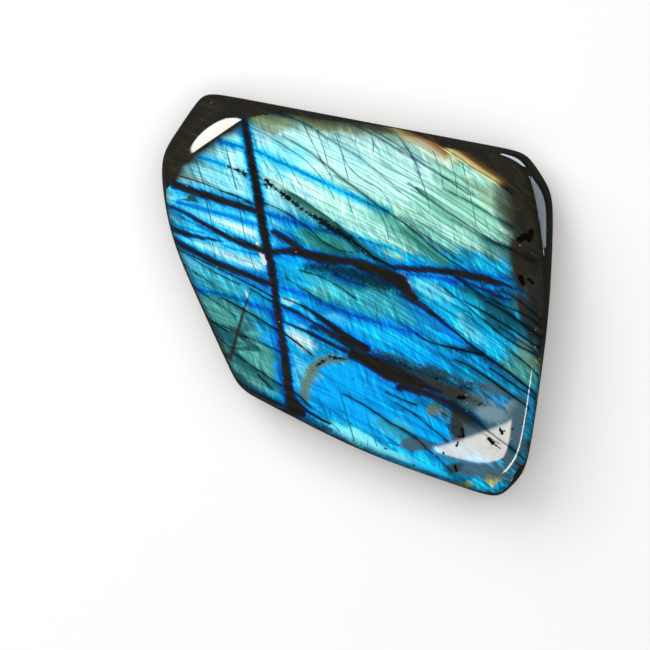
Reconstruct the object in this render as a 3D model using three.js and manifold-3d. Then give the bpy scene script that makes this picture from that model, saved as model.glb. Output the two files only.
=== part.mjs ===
// A polished freeform of labradorite: one piece of stone, lying on its flat back.
// Millimetres, +Z up. The flash face looks up, and +Y is the stone's upper edge.

import * as THREE from 'three';
import { mergeVertices } from 'three/addons/utils/BufferGeometryUtils.js';
import Module from 'manifold-3d';

// Overall form
const HEIGHT = 24; // flat of the back to the crown of the flash face
const HEART = 12; // height of the point that the faces are ground around
const GIRDLE = 10; // height where the walls reach furthest out
const CROWN_RADIUS = 330; // gentle dome of the flash face
const BACK_RADIUS = 260; // gentle dome of the back, before its flat is ground
const FACE_EDGE = 0.8; // roundness that polishing gave the rims of both faces
const FLAT_DEPTH = 0.7; // how much of the back's dome the flat takes away
const UNDERCUT = 17; // degrees that the walls lean in below the girdle

// The side walls, anticlockwise. The bearing is where a wall faces, in degrees from +X, the reach
// is its distance from the axis at the girdle, the lean is its tilt inwards above the girdle, and
// the edge is how softly polishing rounded its rims.
const WALLS = [
  { bearing: 33.5, reach: 49.0, lean: 20, edge: 0.9 }, // top right
  { bearing: 79.3, reach: 38.2, lean: 14, edge: 0.8 }, // top
  { bearing: 146.7, reach: 53.7, lean: 16, edge: 1.2 }, // top left
  { bearing: 181, reach: 43.4, lean: 12, edge: 0.8 }, // left
  { bearing: 191.7, reach: 38.2, lean: 12, edge: 0.8 }, // left middle
  { bearing: 204.6, reach: 32.8, lean: 10, edge: 0.8 }, // left lower
  { bearing: 242.5, reach: 31.0, lean: 10, edge: 0.9 }, // bottom left
  { bearing: 251.4, reach: 33.3, lean: 10, edge: 0.8 }, // bottom
  { bearing: 313.8, reach: 54.9, lean: 16, edge: 1.4 }, // bottom right
  { bearing: 351.3, reach: 43.2, lean: 10, edge: 0.8 }, // right lower
  { bearing: 358.5, reach: 43.2, lean: 12, edge: 0.8 }, // right
];

// The bevels between the flash face and the walls, with the reach of their planes at the girdle.
const BEVELS = [
  { bearing: 125, reach: 58.0, lean: 48, edge: 0.9 }, // top left corner
  { bearing: 59.5, reach: 47.4, lean: 28, edge: 0.35 }, // top right corner
  { bearing: 10.8, reach: 47.4, lean: 32, edge: 0.35 }, // upper right
];

// Fineness of the faceted solid
const SPLITS = 17; // cuts along each edge of the starting icosahedron
const BLANK_FLATNESS = 0.23; // height of the blank against its width
const BLANK_ROUNDING = 0.5; // 1 for a ball, less for a cushion with more of its points at the rims
const GRIND_STEPS = 40; // halvings that find the ground surface along a ray
const OUT_OF_STONE = 80; // longer than the stone's longest radius

const degrees = THREE.MathUtils.degToRad;
const heart = new THREE.Vector3(0, 0, HEART);

// A flat ground face: stone further out along the normal than the offset has been taken away.
function groundFace({ bearing, reach, edge }, elevation) {
  const level = Math.cos(degrees(elevation));
  const normal = new THREE.Vector3(
    level * Math.cos(degrees(bearing)),
    level * Math.sin(degrees(bearing)),
    Math.sin(degrees(elevation)),
  );
  const offset = level * reach + normal.z * GIRDLE;
  return { edge, overshoot: (point) => normal.dot(point) - offset };
}

// A domed face that looks up or down, with its crown at a height on the axis.
function domedFace(height, radius, facing, edge) {
  const overshoot = ({ x, y, z }) => facing * (z - height) + (x * x + y * y) / (2 * radius);
  return { edge, overshoot };
}

const faces = [
  ...WALLS.map((wall) => groundFace(wall, wall.lean)),
  ...WALLS.map((wall) => groundFace(wall, -UNDERCUT)),
  ...BEVELS.map((bevel) => groundFace(bevel, bevel.lean)),
  domedFace(HEIGHT, CROWN_RADIUS, 1, FACE_EDGE),
  domedFace(-FLAT_DEPTH, BACK_RADIUS, -1, FACE_EDGE),
];

// Every face wears the stone away softly, so two faces meet in a polished round, not a sharp edge.
// The wear is 1 on the finished surface, less inside and more outside.
function wear(point) {
  return faces.reduce((sum, { edge, overshoot }) => sum + Math.exp(overshoot(point) / edge), 0);
}

// The point where a ray from the heart meets the finished surface.
function polishedPoint(direction) {
  let inside = 0;
  let outside = OUT_OF_STONE;
  const point = new THREE.Vector3();
  for (let step = 0; step < GRIND_STEPS; step += 1) {
    const middle = (inside + outside) / 2;
    point.copy(heart).addScaledVector(direction, middle);
    if (wear(point) > 1) outside = middle;
    else inside = middle;
  }
  return point;
}

// Presses a ball's direction into that of a flat cushion, which crowds the points at its rims.
// At the poles x and y are zero, and any spread will do.
function cushionDirection({ x, y, z }) {
  const spread = (Math.hypot(x, y) || 1) ** (BLANK_ROUNDING - 1);
  const rise = Math.sign(z) * BLANK_FLATNESS * Math.abs(z) ** BLANK_ROUNDING;
  return new THREE.Vector3(x * spread, y * spread, rise).normalize();
}

// The whole stone as a closed mesh, before its flat is ground.
function polishedForm() {
  const ball = new THREE.IcosahedronGeometry(1, SPLITS);
  ball.deleteAttribute('normal');
  ball.deleteAttribute('uv');
  const form = mergeVertices(ball);
  const corners = form.getAttribute('position');
  const corner = new THREE.Vector3();
  for (let index = 0; index < corners.count; index += 1) {
    corner.fromBufferAttribute(corners, index);
    const { x, y, z } = polishedPoint(cushionDirection(corner));
    corners.setXYZ(index, x, y, z);
  }
  return form;
}

const wasm = await Module();
wasm.setup();

function toSolid(geometry) {
  const vertProperties = Float32Array.from(geometry.getAttribute('position').array);
  const triVerts = Uint32Array.from(geometry.index.array);
  return new wasm.Manifold(new wasm.Mesh({ numProp: 3, vertProperties, triVerts }));
}

function toGeometry(solid) {
  const { vertProperties, triVerts } = solid.getMesh();
  const geometry = new THREE.BufferGeometry();
  geometry.setAttribute('position', new THREE.BufferAttribute(vertProperties, 3));
  geometry.setIndex(new THREE.BufferAttribute(triVerts, 1));
  return geometry;
}

// The block that the resting flat is ground on: its top is at the height of the flat.
function grindingBlock() {
  const width = 2 * OUT_OF_STONE;
  const block = new THREE.BoxGeometry(width, width, HEIGHT);
  block.translate(0, 0, -HEIGHT / 2);
  block.deleteAttribute('normal');
  block.deleteAttribute('uv');
  return mergeVertices(block);
}

function labradoriteStone() {
  const geometry = toGeometry(toSolid(polishedForm()).subtract(toSolid(grindingBlock())));
  geometry.computeBoundingBox();
  const middle = geometry.boundingBox.getCenter(new THREE.Vector3());
  geometry.translate(-middle.x, -middle.y, 0);
  geometry.computeVertexNormals();
  const polish = new THREE.MeshStandardMaterial({ color: 0x2f8fb4, roughness: 0.12, metalness: 0 });
  const stone = new THREE.Mesh(geometry, polish);
  stone.name = 'labradorite_stone';
  return stone;
}

const part = new THREE.Group();
part.name = 'polished_labradorite';
part.add(labradoriteStone());

export default part;
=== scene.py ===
# The polished labradorite freeform: its smooth ground form, the flash and seams in it, and a stage.
import math

import bmesh
import bpy
import numpy as np
from mathutils import Matrix, Vector


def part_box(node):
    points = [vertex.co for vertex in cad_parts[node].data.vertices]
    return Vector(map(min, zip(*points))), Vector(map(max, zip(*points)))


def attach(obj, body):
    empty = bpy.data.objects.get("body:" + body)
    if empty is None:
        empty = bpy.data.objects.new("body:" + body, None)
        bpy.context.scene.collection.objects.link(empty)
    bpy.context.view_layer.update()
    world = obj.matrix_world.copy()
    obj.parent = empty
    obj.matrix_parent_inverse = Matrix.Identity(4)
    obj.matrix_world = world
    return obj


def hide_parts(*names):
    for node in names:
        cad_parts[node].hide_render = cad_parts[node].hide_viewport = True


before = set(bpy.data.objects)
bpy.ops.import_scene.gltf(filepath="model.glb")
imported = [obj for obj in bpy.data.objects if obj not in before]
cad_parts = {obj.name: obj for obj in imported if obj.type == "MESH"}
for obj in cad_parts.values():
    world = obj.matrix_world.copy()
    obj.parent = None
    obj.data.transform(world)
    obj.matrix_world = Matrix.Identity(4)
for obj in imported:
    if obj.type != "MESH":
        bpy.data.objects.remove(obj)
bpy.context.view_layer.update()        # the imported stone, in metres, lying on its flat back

bl_info = {
    "name": "Labradorite Freeform",
    "version": (1, 0, 0),
    "blender": (4, 5, 0),
    "location": "View3D > Sidebar > Stone",
    "description": "A polished labradorite freeform with its flash, seams and pits, on a plain stage",
    "category": "Object",
}

NODE = "labradorite_stone"
BODY = "root"
SLOT = "polished_labradorite"
CAD_LOW, CAD_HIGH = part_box(NODE)
MM = 0.001  # metres in a millimetre

# The side walls, anticlockwise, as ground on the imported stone. The bearing is where a wall faces,
# in degrees from +X, the reach is its distance from the axis at the girdle in mm, the lean is its
# tilt inwards above the girdle in degrees, and the edge is the softness of its rims in mm.
WALLS = (
    # bearing, reach, lean, edge
    (33.5, 49.0, 20, 0.9),  # top right
    (79.3, 38.2, 14, 0.8),  # top
    (146.7, 53.7, 16, 1.2),  # top left
    (181.0, 43.4, 12, 0.8),  # left
    (191.7, 38.2, 12, 0.8),  # left middle
    (204.6, 32.8, 10, 0.8),  # left lower
    (242.5, 31.0, 10, 0.9),  # bottom left
    (251.4, 33.3, 10, 0.8),  # bottom
    (313.8, 54.9, 16, 1.4),  # bottom right
    (351.3, 43.2, 10, 0.8),  # right lower
    (358.5, 43.2, 12, 0.8),  # right
)
# The bevels between the flash face and the walls, with the reach of their planes at the girdle.
BEVELS = (
    (125.0, 58.0, 48, 0.9),  # top left corner
    (59.5, 47.4, 28, 0.35),  # top right corner
    (10.8, 47.4, 32, 0.35),  # upper right
)
UNDERCUT = 17  # degrees that the walls lean in below the girdle

# Fineness of the smooth mesh
BALL_SUBDIVISIONS = 7
BALL_FLATNESS = 0.23  # height of the starting ball against its width
BALL_ROUNDING = 0.5  # less than 1 crowds the points of the starting ball at the stone's rims
GRIND_STEPS = 36  # halvings that find the ground surface along a ray
OUT_OF_STONE = 80 * MM
TINY = 1e-9  # stands in for zero where a power is taken

# Strokes run across the flash face, in mm from the stone's middle, with the face towards you:
# start, end, bow to the left of the way from start to end, half width at start and at end.
SEAMS = (
    ((-24.7, 37.5), (-20.9, 17.6), 0.05, 0.66, 0.95),  # main seam
    ((-20.9, 17.6), (-16.5, -7.7), 0.08, 0.95, 0.69),
    ((-16.5, -7.7), (-14.6, -22.3), -0.06, 0.69, 1.03),  # its foot
    ((-14.9, -21.9), (-13.1, -25.5), 0.00, 1.03, 1.72),
    ((-39.5, 23.4), (-32.2, 21.1), -0.02, 0.70, 0.78),  # upper left
    ((-32.2, 21.1), (-20.6, 17.4), -0.16, 0.72, 0.50),
    ((-39.7, 18.7), (-33.1, 15.0), 0.04, 0.21, 0.43),  # left, second
    ((-33.3, 15.2), (-20.2, 9.2), -0.51, 0.36, 0.71),
    ((-39.7, 13.5), (-28.8, 11.2), -0.06, 0.56, -0.10),  # left, third
    ((-39.5, 11.2), (-30.7, 6.9), -0.01, 0.52, 0.58),  # left, fourth
    ((-30.7, 6.9), (-17.9, 1.7), -0.21, 0.54, 0.58),
    ((-19.4, 9.2), (-14.2, 9.2), -0.19, 0.52, 0.56),  # from the main seam to the right
    ((-18.1, 13.5), (-12.5, 9.4), 0.24, 0.34, 0.73),
    ((-14.2, 9.2), (-5.6, 7.1), -0.01, 0.90, 0.94),
    ((-5.6, 7.1), (1.7, 6.2), 0.23, 0.69, 0.69),  # dark knot
    ((0.4, 6.2), (9.0, 2.8), 0.19, 0.90, 1.42),
    ((8.5, 3.0), (12.0, -1.1), 0.08, 1.33, 0.73),
    ((8.1, -0.0), (15.4, -3.9), 0.49, -0.10, 0.56),  # lower branch
    ((15.0, -3.7), (19.5, -7.2), 0.08, 0.50, 0.00),
    ((7.7, 5.8), (18.8, 4.7), -0.11, 0.32, 0.62),  # upper branch
    ((18.8, 4.7), (28.0, 3.0), 0.10, 0.64, 0.70),
    ((28.0, 3.0), (35.0, 0.6), 0.05, 0.70, -0.25),
    ((20.8, 3.6), (32.5, -1.4), -0.06, 0.15, 0.15),
    ((-17.0, -2.2), (-6.1, -8.2), 0.15, 0.11, 0.26),  # big diagonal, thin start
    ((-11.2, -3.0), (-6.7, -6.2), 0.18, -0.09, 0.47),
    ((-6.7, -6.2), (1.7, -11.8), -0.21, 0.47, 0.77),
    ((-10.1, -6.9), (-1.8, -11.6), 0.52, 0.00, 0.39),
    ((-6.1, -8.2), (0.8, -12.5), 0.12, 0.32, 0.64),
    ((-16.1, -6.2), (-7.8, -9.9), 0.31, -0.11, 0.15),
    ((-7.8, -9.9), (-1.3, -13.1), 0.01, 0.17, 0.30),
    ((-1.3, -12.9), (6.4, -16.5), 0.28, 1.07, 1.82),  # big diagonal, thick middle
    ((6.4, -16.5), (13.3, -19.5), 0.04, 1.82, 1.07),
    ((12.4, -19.1), (18.0, -21.0), 0.01, 0.86, 0.21),
    ((9.0, -19.8), (18.8, -23.2), 0.38, 0.75, 0.56),  # its lower edge
    ((18.8, -23.2), (25.7, -27.5), 0.39, 0.56, 0.11),
    ((25.7, -27.5), (33.9, -33.9), -0.18, 0.11, -0.13),
)
# Saturated blue veins, and the blue along the seams
BLUES = (
    ((-31.2, 33.5), (-24.3, 31.2), -0.27, 0.56, 0.30),  # top left, to the main seam
    ((-21.9, 30.7), (-7.8, 24.0), -0.01, 0.30, 0.36),  # top, past the main seam
    ((-7.8, 24.0), (6.4, 17.8), -0.34, 0.36, 0.26),
    ((-34.6, 29.6), (-28.8, 27.7), 0.06, 0.36, 0.26),  # second, to the left
    ((-38.7, 19.7), (-27.1, 16.5), 0.13, 0.47, 0.47),  # left band
    ((-27.1, 16.5), (-21.1, 14.6), -0.10, 0.47, 0.52),
    ((-20.2, 17.6), (-10.3, 14.4), -0.07, 0.39, 0.52),  # past the main seam
    ((-10.3, 14.4), (-1.3, 12.4), -0.37, 0.52, 0.21),
    ((-1.3, 12.4), (8.1, 9.2), -0.01, 0.21, 0.17),  # thin cyan end
    ((-34.8, 0.9), (-23.9, -1.7), 0.35, 0.34, 0.47),  # lower left band
    ((-23.9, -1.7), (-17.2, -4.3), -0.05, 0.47, 0.47),
    ((-15.9, 1.3), (-8.2, -1.9), 0.10, 0.52, 0.56),  # right of the main seam
    ((-8.2, -1.9), (1.5, -5.2), -0.14, 0.52, 0.39),
    ((1.5, -5.2), (13.3, -8.4), -0.43, 0.34, 0.21),  # faint end
    ((-15.9, -3.0), (-8.6, -7.1), -0.21, 0.56, 0.34),  # along the big diagonal
    ((-0.5, -10.3), (4.2, -13.1), -0.16, 0.47, 0.21),
    ((-25.8, 36.0), (-24.5, 31.8), 0.12, 0.28, 0.21),  # main seam, left side
    ((-24.3, 30.9), (-23.0, 23.6), 0.03, 0.21, 0.19),
    ((-21.3, 15.4), (-20.4, 10.3), -0.09, 0.19, 0.19),
    ((-19.4, 5.6), (-18.7, 2.1), 0.12, 0.24, 0.21),
    ((-18.3, 0.9), (-17.0, -11.0), -0.27, 0.34, 0.56),
    ((-17.2, -11.0), (-15.9, -21.9), -0.22, 0.56, 0.43),
    ((-39.5, 22.1), (-29.2, 18.9), 0.00, 0.17, 0.17),  # under the upper left seam
    ((-29.2, 18.9), (-20.6, 16.5), -0.23, 0.19, 0.19),
    ((-34.0, 22.3), (-21.5, 18.7), 0.04, 0.13, 0.13),
    ((-39.7, 17.6), (-30.7, 12.9), -0.13, 0.15, 0.30),  # left, second
    ((-32.7, 15.7), (-20.6, 10.3), -0.28, 0.13, 0.17),
    ((-29.2, 10.7), (-20.6, 8.4), -0.44, 0.17, 0.21),
    ((-39.7, 14.6), (-29.7, 12.0), 0.18, 0.19, 0.15),  # left, third
    ((-38.7, 11.8), (-30.5, 7.7), -0.19, 0.19, 0.21),  # left, fourth
    ((-30.5, 7.7), (-18.1, 2.8), -0.22, 0.21, 0.24),
    ((-39.1, 10.1), (-30.5, 6.0), 0.08, 0.13, 0.15),
    ((-30.5, 5.8), (-18.5, 0.9), -0.17, 0.15, 0.15),
    ((-18.9, 10.1), (-13.8, 10.1), -0.24, 0.15, 0.15),  # from the main seam to the right
    ((-9.5, 9.0), (5.1, 6.0), 0.09, 0.19, 0.21),  # above the dark knot
    ((5.1, 6.0), (18.8, 5.6), 0.19, 0.21, 0.21),  # above the upper branch
    ((18.8, 5.8), (33.0, 2.8), 0.24, 0.21, 0.19),
    ((9.8, 4.3), (21.0, 2.4), 0.29, 0.34, 0.60),  # under the upper branch
    ((21.0, 3.0), (30.4, 0.4), -0.36, 0.43, 0.34),
    ((-5.0, 3.9), (1.2, 1.9), -0.07, 0.43, 0.34),  # in the dark knot
    ((4.2, 3.6), (9.0, 1.7), 0.05, 0.21, 0.15),
)
# Translucent brown bands, drawn out along the layers
SMOKE = (
    ((8.5, -16.7), (22.3, -21.9), 0.18, 1.39, 1.18),  # brown body of the big diagonal
    ((22.3, -21.9), (27.0, -23.8), 0.00, 0.86, 0.00),
    ((3.4, -12.0), (17.5, -16.7), 0.04, 0.00, 0.32),  # fuzzy band above it
    ((17.5, -16.7), (27.4, -20.0), -0.30, 0.32, 0.26),
)
# Where the flash sinks deep into the stone
DEPTHS = (
    ((-10.8, 5.8), (5.5, 2.0), 0.79, 0.90, 1.60),  # under the dark knot
    ((5.5, 2.1), (13.3, -2.2), 0.81, 1.07, 0.56),
    ((15.4, -10.5), (24.4, -12.2), -0.49, -0.30, 0.50),  # wisp in the right half
    ((24.0, -12.0), (30.9, -15.5), 0.19, 0.80, 0.30),
    ((28.3, 11.6), (37.7, 7.1), -0.11, 0.00, 0.60),  # towards the right rim
    ((4.2, -12.9), (24.0, -20.4), -0.38, 0.52, 0.73),  # between the big diagonal and the band above it
    ((-9.1, -6.9), (-0.5, -12.5), 0.23, 0.64, 0.86),
    ((-25.8, -19.5), (-6.1, -29.6), 0.00, 0.21, 0.64),  # along the lower rim
)
# Thin dark lines along the layers
HAIRLINES = (
    ((-38.7, 25.5), (-21.5, 18.9), 0.41, 0.15, 0.17),  # left, upper pair
    ((-32.7, 23.6), (-21.5, 18.4), 0.22, 0.11, 0.13),
    ((-38.7, 9.4), (-24.1, 2.4), 0.30, 0.15, 0.17),  # left, lower pair
    ((-24.1, 2.4), (-17.6, -1.1), 0.07, 0.17, 0.17),
    ((-37.4, 9.0), (-25.4, 2.1), -0.34, 0.09, 0.11),
    ((-37.6, 6.9), (-31.0, 2.1), -0.22, 0.11, 0.09),
    ((-29.2, -0.7), (-16.4, -8.4), 0.22, 0.15, 0.26),  # left, strong, past the main seam
    ((-16.1, -8.4), (-9.5, -13.5), 0.26, 0.26, 0.15),
    ((-34.6, 0.9), (-26.2, -4.9), 0.22, 0.13, 0.09),
    ((-32.7, -4.9), (-23.2, -9.4), -0.72, 0.17, 0.11),  # lower left
    ((-31.4, -6.0), (-16.4, -12.7), 0.23, 0.11, 0.13),
    ((-31.4, -8.4), (-26.9, -11.6), -0.12, 0.17, 0.15),
    ((-27.1, -12.5), (-15.9, -19.8), -0.20, 0.15, 0.19),
    ((-15.9, -19.8), (-9.9, -24.5), 0.36, 0.19, 0.17),
    ((-26.2, -18.5), (-16.4, -24.0), -0.50, 0.13, 0.17),
    ((-21.5, -17.4), (-18.5, -20.2), -0.06, 0.17, 0.17),
    ((-23.2, 1.1), (-12.5, -4.3), -0.31, 0.13, 0.17),  # beside the big diagonal
    ((-15.9, -0.9), (-2.8, -8.4), 0.34, 0.13, 0.15),
    ((-12.5, -2.4), (-1.3, -11.0), 0.41, 0.15, 0.28),
    ((-2.8, -8.4), (2.1, -11.8), 0.11, 0.26, 0.21),
    ((-15.9, -6.0), (-2.8, -12.5), 0.14, 0.13, 0.17),
    ((-17.9, 39.0), (-6.5, 33.3), 0.74, 0.15, 0.15),  # top, from the edge
    ((-6.5, 33.5), (9.0, 21.9), 0.57, 0.11, 0.09),
    ((-16.1, 33.9), (-6.5, 27.5), 0.27, 0.15, 0.19),  # top, the long layer edge
    ((-6.5, 27.5), (5.3, 18.2), -0.38, 0.21, 0.28),
    ((5.3, 18.2), (14.1, 11.4), 0.33, 0.26, 0.30),
    ((14.1, 11.4), (24.0, 4.3), -0.18, 0.26, 0.19),
    ((8.5, 16.7), (22.3, 6.6), 0.04, 0.11, 0.15),
    ((0.4, 35.8), (18.4, 24.9), 0.20, 0.13, 0.13),  # top right
    ((3.8, 34.8), (15.4, 27.7), 0.11, 0.13, 0.11),
    ((9.0, 31.3), (23.6, 21.2), -0.02, 0.13, 0.13),
    ((18.4, 24.9), (24.8, 21.2), 0.22, 0.13, 0.09),
    ((12.8, 34.8), (24.8, 27.0), 0.19, 0.17, 0.17),  # under the dark corner
    ((24.8, 27.0), (32.8, 21.5), 0.30, 0.17, 0.13),
    ((18.2, 22.5), (33.0, 14.4), 0.22, 0.15, 0.21),  # right of the middle
    ((10.7, 23.6), (23.1, 15.0), -0.11, 0.15, 0.19),
    ((23.1, 15.0), (33.0, 9.4), -0.29, 0.19, 0.24),
    ((20.1, 16.1), (30.4, 10.3), -0.30, 0.09, 0.13),
    ((-0.7, 10.9), (3.4, 7.5), 0.11, 0.21, 0.39),  # from the flecks to the knot
    ((3.4, 7.7), (8.1, 5.1), 0.13, 0.34, 0.21),
    ((-1.8, 12.0), (4.7, 6.9), -0.75, 0.13, 0.13),
    ((-20.2, 19.5), (-9.9, 13.5), 0.54, 0.13, 0.15),  # below the flecks
    ((-9.9, 13.5), (-1.3, 8.8), -0.97, 0.15, 0.11),
    ((-4.8, 15.4), (-0.0, 9.0), -0.21, 0.09, 0.13),
    ((-12.5, 5.1), (-0.5, -1.1), 0.71, 0.15, 0.13),  # middle
    ((-15.5, 3.6), (-7.8, -1.7), -0.21, 0.13, 0.09),
    ((20.8, 3.6), (34.7, -4.1), -0.48, 0.15, 0.21),  # towards the right rim
    ((34.7, -4.1), (39.7, -7.5), 0.23, 0.21, 0.19),
    ((22.9, 1.9), (39.2, -9.4), 0.07, 0.19, 0.21),
    ((30.9, 0.6), (39.7, -6.0), 0.52, 0.15, 0.17),
    ((15.4, -3.9), (23.1, -10.3), 0.13, 0.19, 0.24),  # from the lower branch
    ((23.1, -10.3), (34.7, -18.7), 0.14, 0.26, 0.28),
    ((34.7, -18.7), (39.0, -22.3), 0.09, 0.26, 0.17),
    ((17.5, 2.1), (26.6, -5.4), 0.08, 0.11, 0.15),
    ((26.6, -5.4), (39.4, -13.7), -0.69, 0.19, 0.19),
    ((22.5, -1.3), (39.2, -11.8), 0.23, 0.19, 0.26),
    ((27.4, -1.5), (40.1, -9.9), 0.39, 0.17, 0.21),
    ((32.6, -12.5), (39.4, -18.0), 0.21, 0.17, 0.17),
    ((28.3, -15.9), (39.0, -23.2), 0.01, 0.17, 0.21),
    ((30.4, -7.1), (39.4, -13.3), -0.02, 0.11, 0.13),
    ((20.6, -14.0), (30.4, -19.8), 0.42, 0.15, 0.26),
    ((30.4, -19.8), (36.9, -24.7), 0.15, 0.26, 0.17),
    ((12.2, -8.4), (18.0, -11.0), -0.30, 0.19, 0.21),  # wisp in the right half
    ((18.0, -11.0), (26.6, -13.1), -0.04, 0.26, 0.21),
    ((21.0, -24.3), (30.4, -31.3), 0.09, 0.13, 0.17),  # through the grey
    ((30.4, -31.3), (36.4, -36.1), 0.19, 0.17, 0.13),
    ((24.8, -28.5), (30.4, -32.2), 0.03, 0.06, 0.09),
    ((-3.3, -21.3), (7.2, -27.7), 0.25, 0.13, 0.24),  # in the deep blue
    ((7.2, -27.7), (14.5, -33.3), 0.61, 0.21, 0.17),
    ((8.1, -23.2), (19.3, -31.8), 0.28, 0.13, 0.19),
    ((6.0, -21.0), (12.4, -23.8), -0.03, 0.13, 0.19),
    ((14.5, -33.3), (20.1, -38.0), 0.06, 0.11, 0.09),
    ((-14.6, -22.3), (-6.1, -27.9), -0.28, 0.26, 0.30),  # along the lower rim
)
# Thin lines of deeper blue that cross the layers
THREADS = (
    ((-34.6, 28.7), (-32.7, 21.9), -0.03, 0.15, 0.15),  # first upright
    ((-32.7, 20.2), (-31.2, 14.2), 0.02, 0.15, 0.11),
    ((-31.2, 10.9), (-30.5, 7.7), -0.07, 0.09, 0.06),
    ((-28.4, 31.3), (-26.0, 22.3), 0.07, 0.15, 0.15),  # second upright
    ((-26.0, 21.0), (-23.9, 11.4), -0.18, 0.15, 0.13),
    ((-23.4, 9.4), (-21.9, 4.5), -0.23, 0.11, 0.11),
    ((-22.8, 15.4), (-22.4, 12.0), 0.02, 0.09, 0.06),  # third upright
    ((-21.1, 0.9), (-18.1, -11.2), 0.02, 0.11, 0.15),  # beside the foot of the main seam
    ((-18.1, -11.2), (-15.3, -19.3), -0.15, 0.15, 0.13),
    ((-23.2, 35.8), (-14.6, 30.9), 0.30, 0.11, 0.15),  # top, from the main seam
    ((-14.6, 30.9), (-5.2, 20.2), 1.17, 0.13, 0.09),
    ((-20.6, 28.7), (-17.2, 24.2), 0.07, 0.09, 0.06),
    ((-15.9, 29.2), (-11.9, 22.3), -0.06, 0.11, 0.09),
    ((-11.9, 36.9), (-5.2, 24.2), -0.28, 0.15, 0.13),  # top edge, steep
    ((-8.8, 35.2), (-5.2, 22.7), 0.23, 0.13, 0.06),
    ((-5.6, 36.5), (-2.0, 24.2), 0.30, 0.11, 0.09),
    ((-3.7, 31.1), (3.0, 23.2), -1.19, 0.11, 0.11),
    ((3.0, 23.2), (7.2, 18.4), 0.61, 0.11, 0.09),
    ((-2.0, 36.7), (-0.5, 31.8), 0.35, 0.09, 0.06),
    ((2.5, 34.5), (3.0, 30.0), 0.47, 0.11, 0.13),
    ((4.2, 33.0), (6.0, 28.7), 0.22, 0.06, 0.06),
    ((8.5, 34.1), (13.3, 25.3), 0.40, 0.17, 0.21),  # upper right, clustered
    ((10.7, 31.3), (13.3, 27.0), -0.38, 0.13, 0.17),
    ((12.6, 26.2), (15.4, 17.6), 0.38, 0.11, 0.06),
    ((16.0, 30.5), (18.2, 22.7), 0.26, 0.13, 0.09),
    ((19.5, 29.6), (21.2, 21.0), 0.33, 0.09, 0.06),
    ((22.3, 28.1), (25.3, 14.6), 0.17, 0.11, 0.06),
    ((24.4, 25.3), (26.1, 21.0), 0.19, 0.06, 0.04),
    ((3.8, 18.7), (6.4, 11.6), 0.51, 0.13, 0.09),  # under the long layer edge
    ((5.5, 18.0), (9.4, 10.3), -0.38, 0.11, 0.09),
    ((7.5, 16.7), (10.7, 9.0), 0.05, 0.11, 0.06),
    ((11.5, 13.7), (15.4, 6.9), -0.17, 0.11, 0.09),
    ((27.0, 16.7), (28.3, 11.6), 0.20, 0.09, 0.06),
    ((28.3, 8.1), (30.9, 3.9), -0.03, 0.11, 0.09),  # in the cyan
    ((24.0, 7.7), (27.8, 3.4), -0.10, 0.09, 0.06),
    ((22.1, 1.3), (24.6, -5.2), -0.13, 0.11, 0.13),  # right
    ((26.1, -1.3), (26.6, -5.2), -0.24, 0.13, 0.09),
    ((31.7, -11.0), (33.0, -15.9), 0.04, 0.11, 0.11),
    ((16.0, -4.5), (18.0, -10.3), -0.26, 0.11, 0.11),
    ((3.8, -2.4), (3.8, -6.9), 0.23, 0.11, 0.11),  # middle
    ((7.2, -2.4), (8.5, -7.7), 0.43, 0.11, 0.09),
    ((-4.3, -19.5), (-0.5, -32.0), -0.18, 0.13, 0.17),  # in the deep blue
    ((-2.0, -20.6), (-0.7, -26.0), 0.04, 0.09, 0.06),
    ((1.7, -24.9), (4.0, -32.6), -0.11, 0.09, 0.09),
    ((2.1, -30.9), (2.5, -34.1), -0.22, 0.06, 0.09),
    ((-6.1, -24.5), (-1.3, -27.9), -0.22, 0.09, 0.11),
    ((-11.9, -23.2), (-3.9, -29.6), 0.40, 0.11, 0.13),
    ((9.0, -30.5), (11.5, -33.9), -0.35, 0.09, 0.06),
    ((-6.1, -17.4), (-3.9, -21.0), -0.35, 0.09, 0.06),
)
# Chains of dark flecks
FLECKS = (
    ((-20.0, 24.5), (-18.7, 23.2), 0.00, 0.21, 0.34),  # chain under the first vein
    ((-18.1, 22.7), (-17.0, 21.9), 0.00, 0.11, 0.17),
    ((-16.6, 21.7), (-14.9, 20.4), 0.00, 0.34, 0.43),
    ((-14.2, 19.7), (-12.9, 18.9), 0.00, 0.39, 0.26),
    ((-12.3, 18.4), (-11.4, 17.8), 0.00, 0.17, 0.13),
    ((-11.2, 17.6), (-6.9, 15.0), -0.00, 0.21, 0.47),
    ((-7.8, 15.4), (-1.3, 11.6), -0.10, 0.60, 0.43),
    ((-3.9, 13.1), (0.8, 9.4), 0.22, 0.26, 0.09),
    ((-27.9, 27.5), (-27.3, 27.0), 0.00, 0.19, 0.19),  # second vein, broken
    ((-26.4, 26.8), (-25.4, 26.2), 0.00, 0.15, 0.21),
    ((-24.9, 26.2), (-23.9, 25.3), 0.00, 0.15, 0.17),
    ((-20.2, 23.6), (-19.4, 23.0), 0.00, 0.15, 0.17),
    ((-8.8, -15.5), (-7.3, -14.2), 0.00, 0.09, 0.19),  # in the olive arc
    ((-6.3, -13.5), (-3.1, -14.0), 0.00, 0.17, 0.15),
)
# Pale marks: painted highlights beside the main seam, and pale threads by the dark knot
PALE_THREADS_AND_GLINTS = (
    ((-21.7, 10.9), (-20.2, 6.6), 0.00, 0.30, 0.50),  # painted highlight beside the main seam
    # a smaller painted highlight beside the main seam
    ((-24.1, 0.9), (-23.8, -0.7), 0.00, 0.10, 0.12),
    ((9.8, 4.3), (12.0, -0.4), 0.27, 0.05, 0.06),  # threads by the dark knot
    ((9.2, 4.5), (11.5, -0.7), 0.31, 0.04, 0.04),
)
# The brown seam of the lower left
DARK_SEAM = (
    ((-21.6, 3.0), (-25.2, -6.0), -0.40, 0.00, 0.32),
    ((-25.2, -6.0), (-27.5, -14.6), -0.11, 0.32, 0.43),
)
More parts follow.
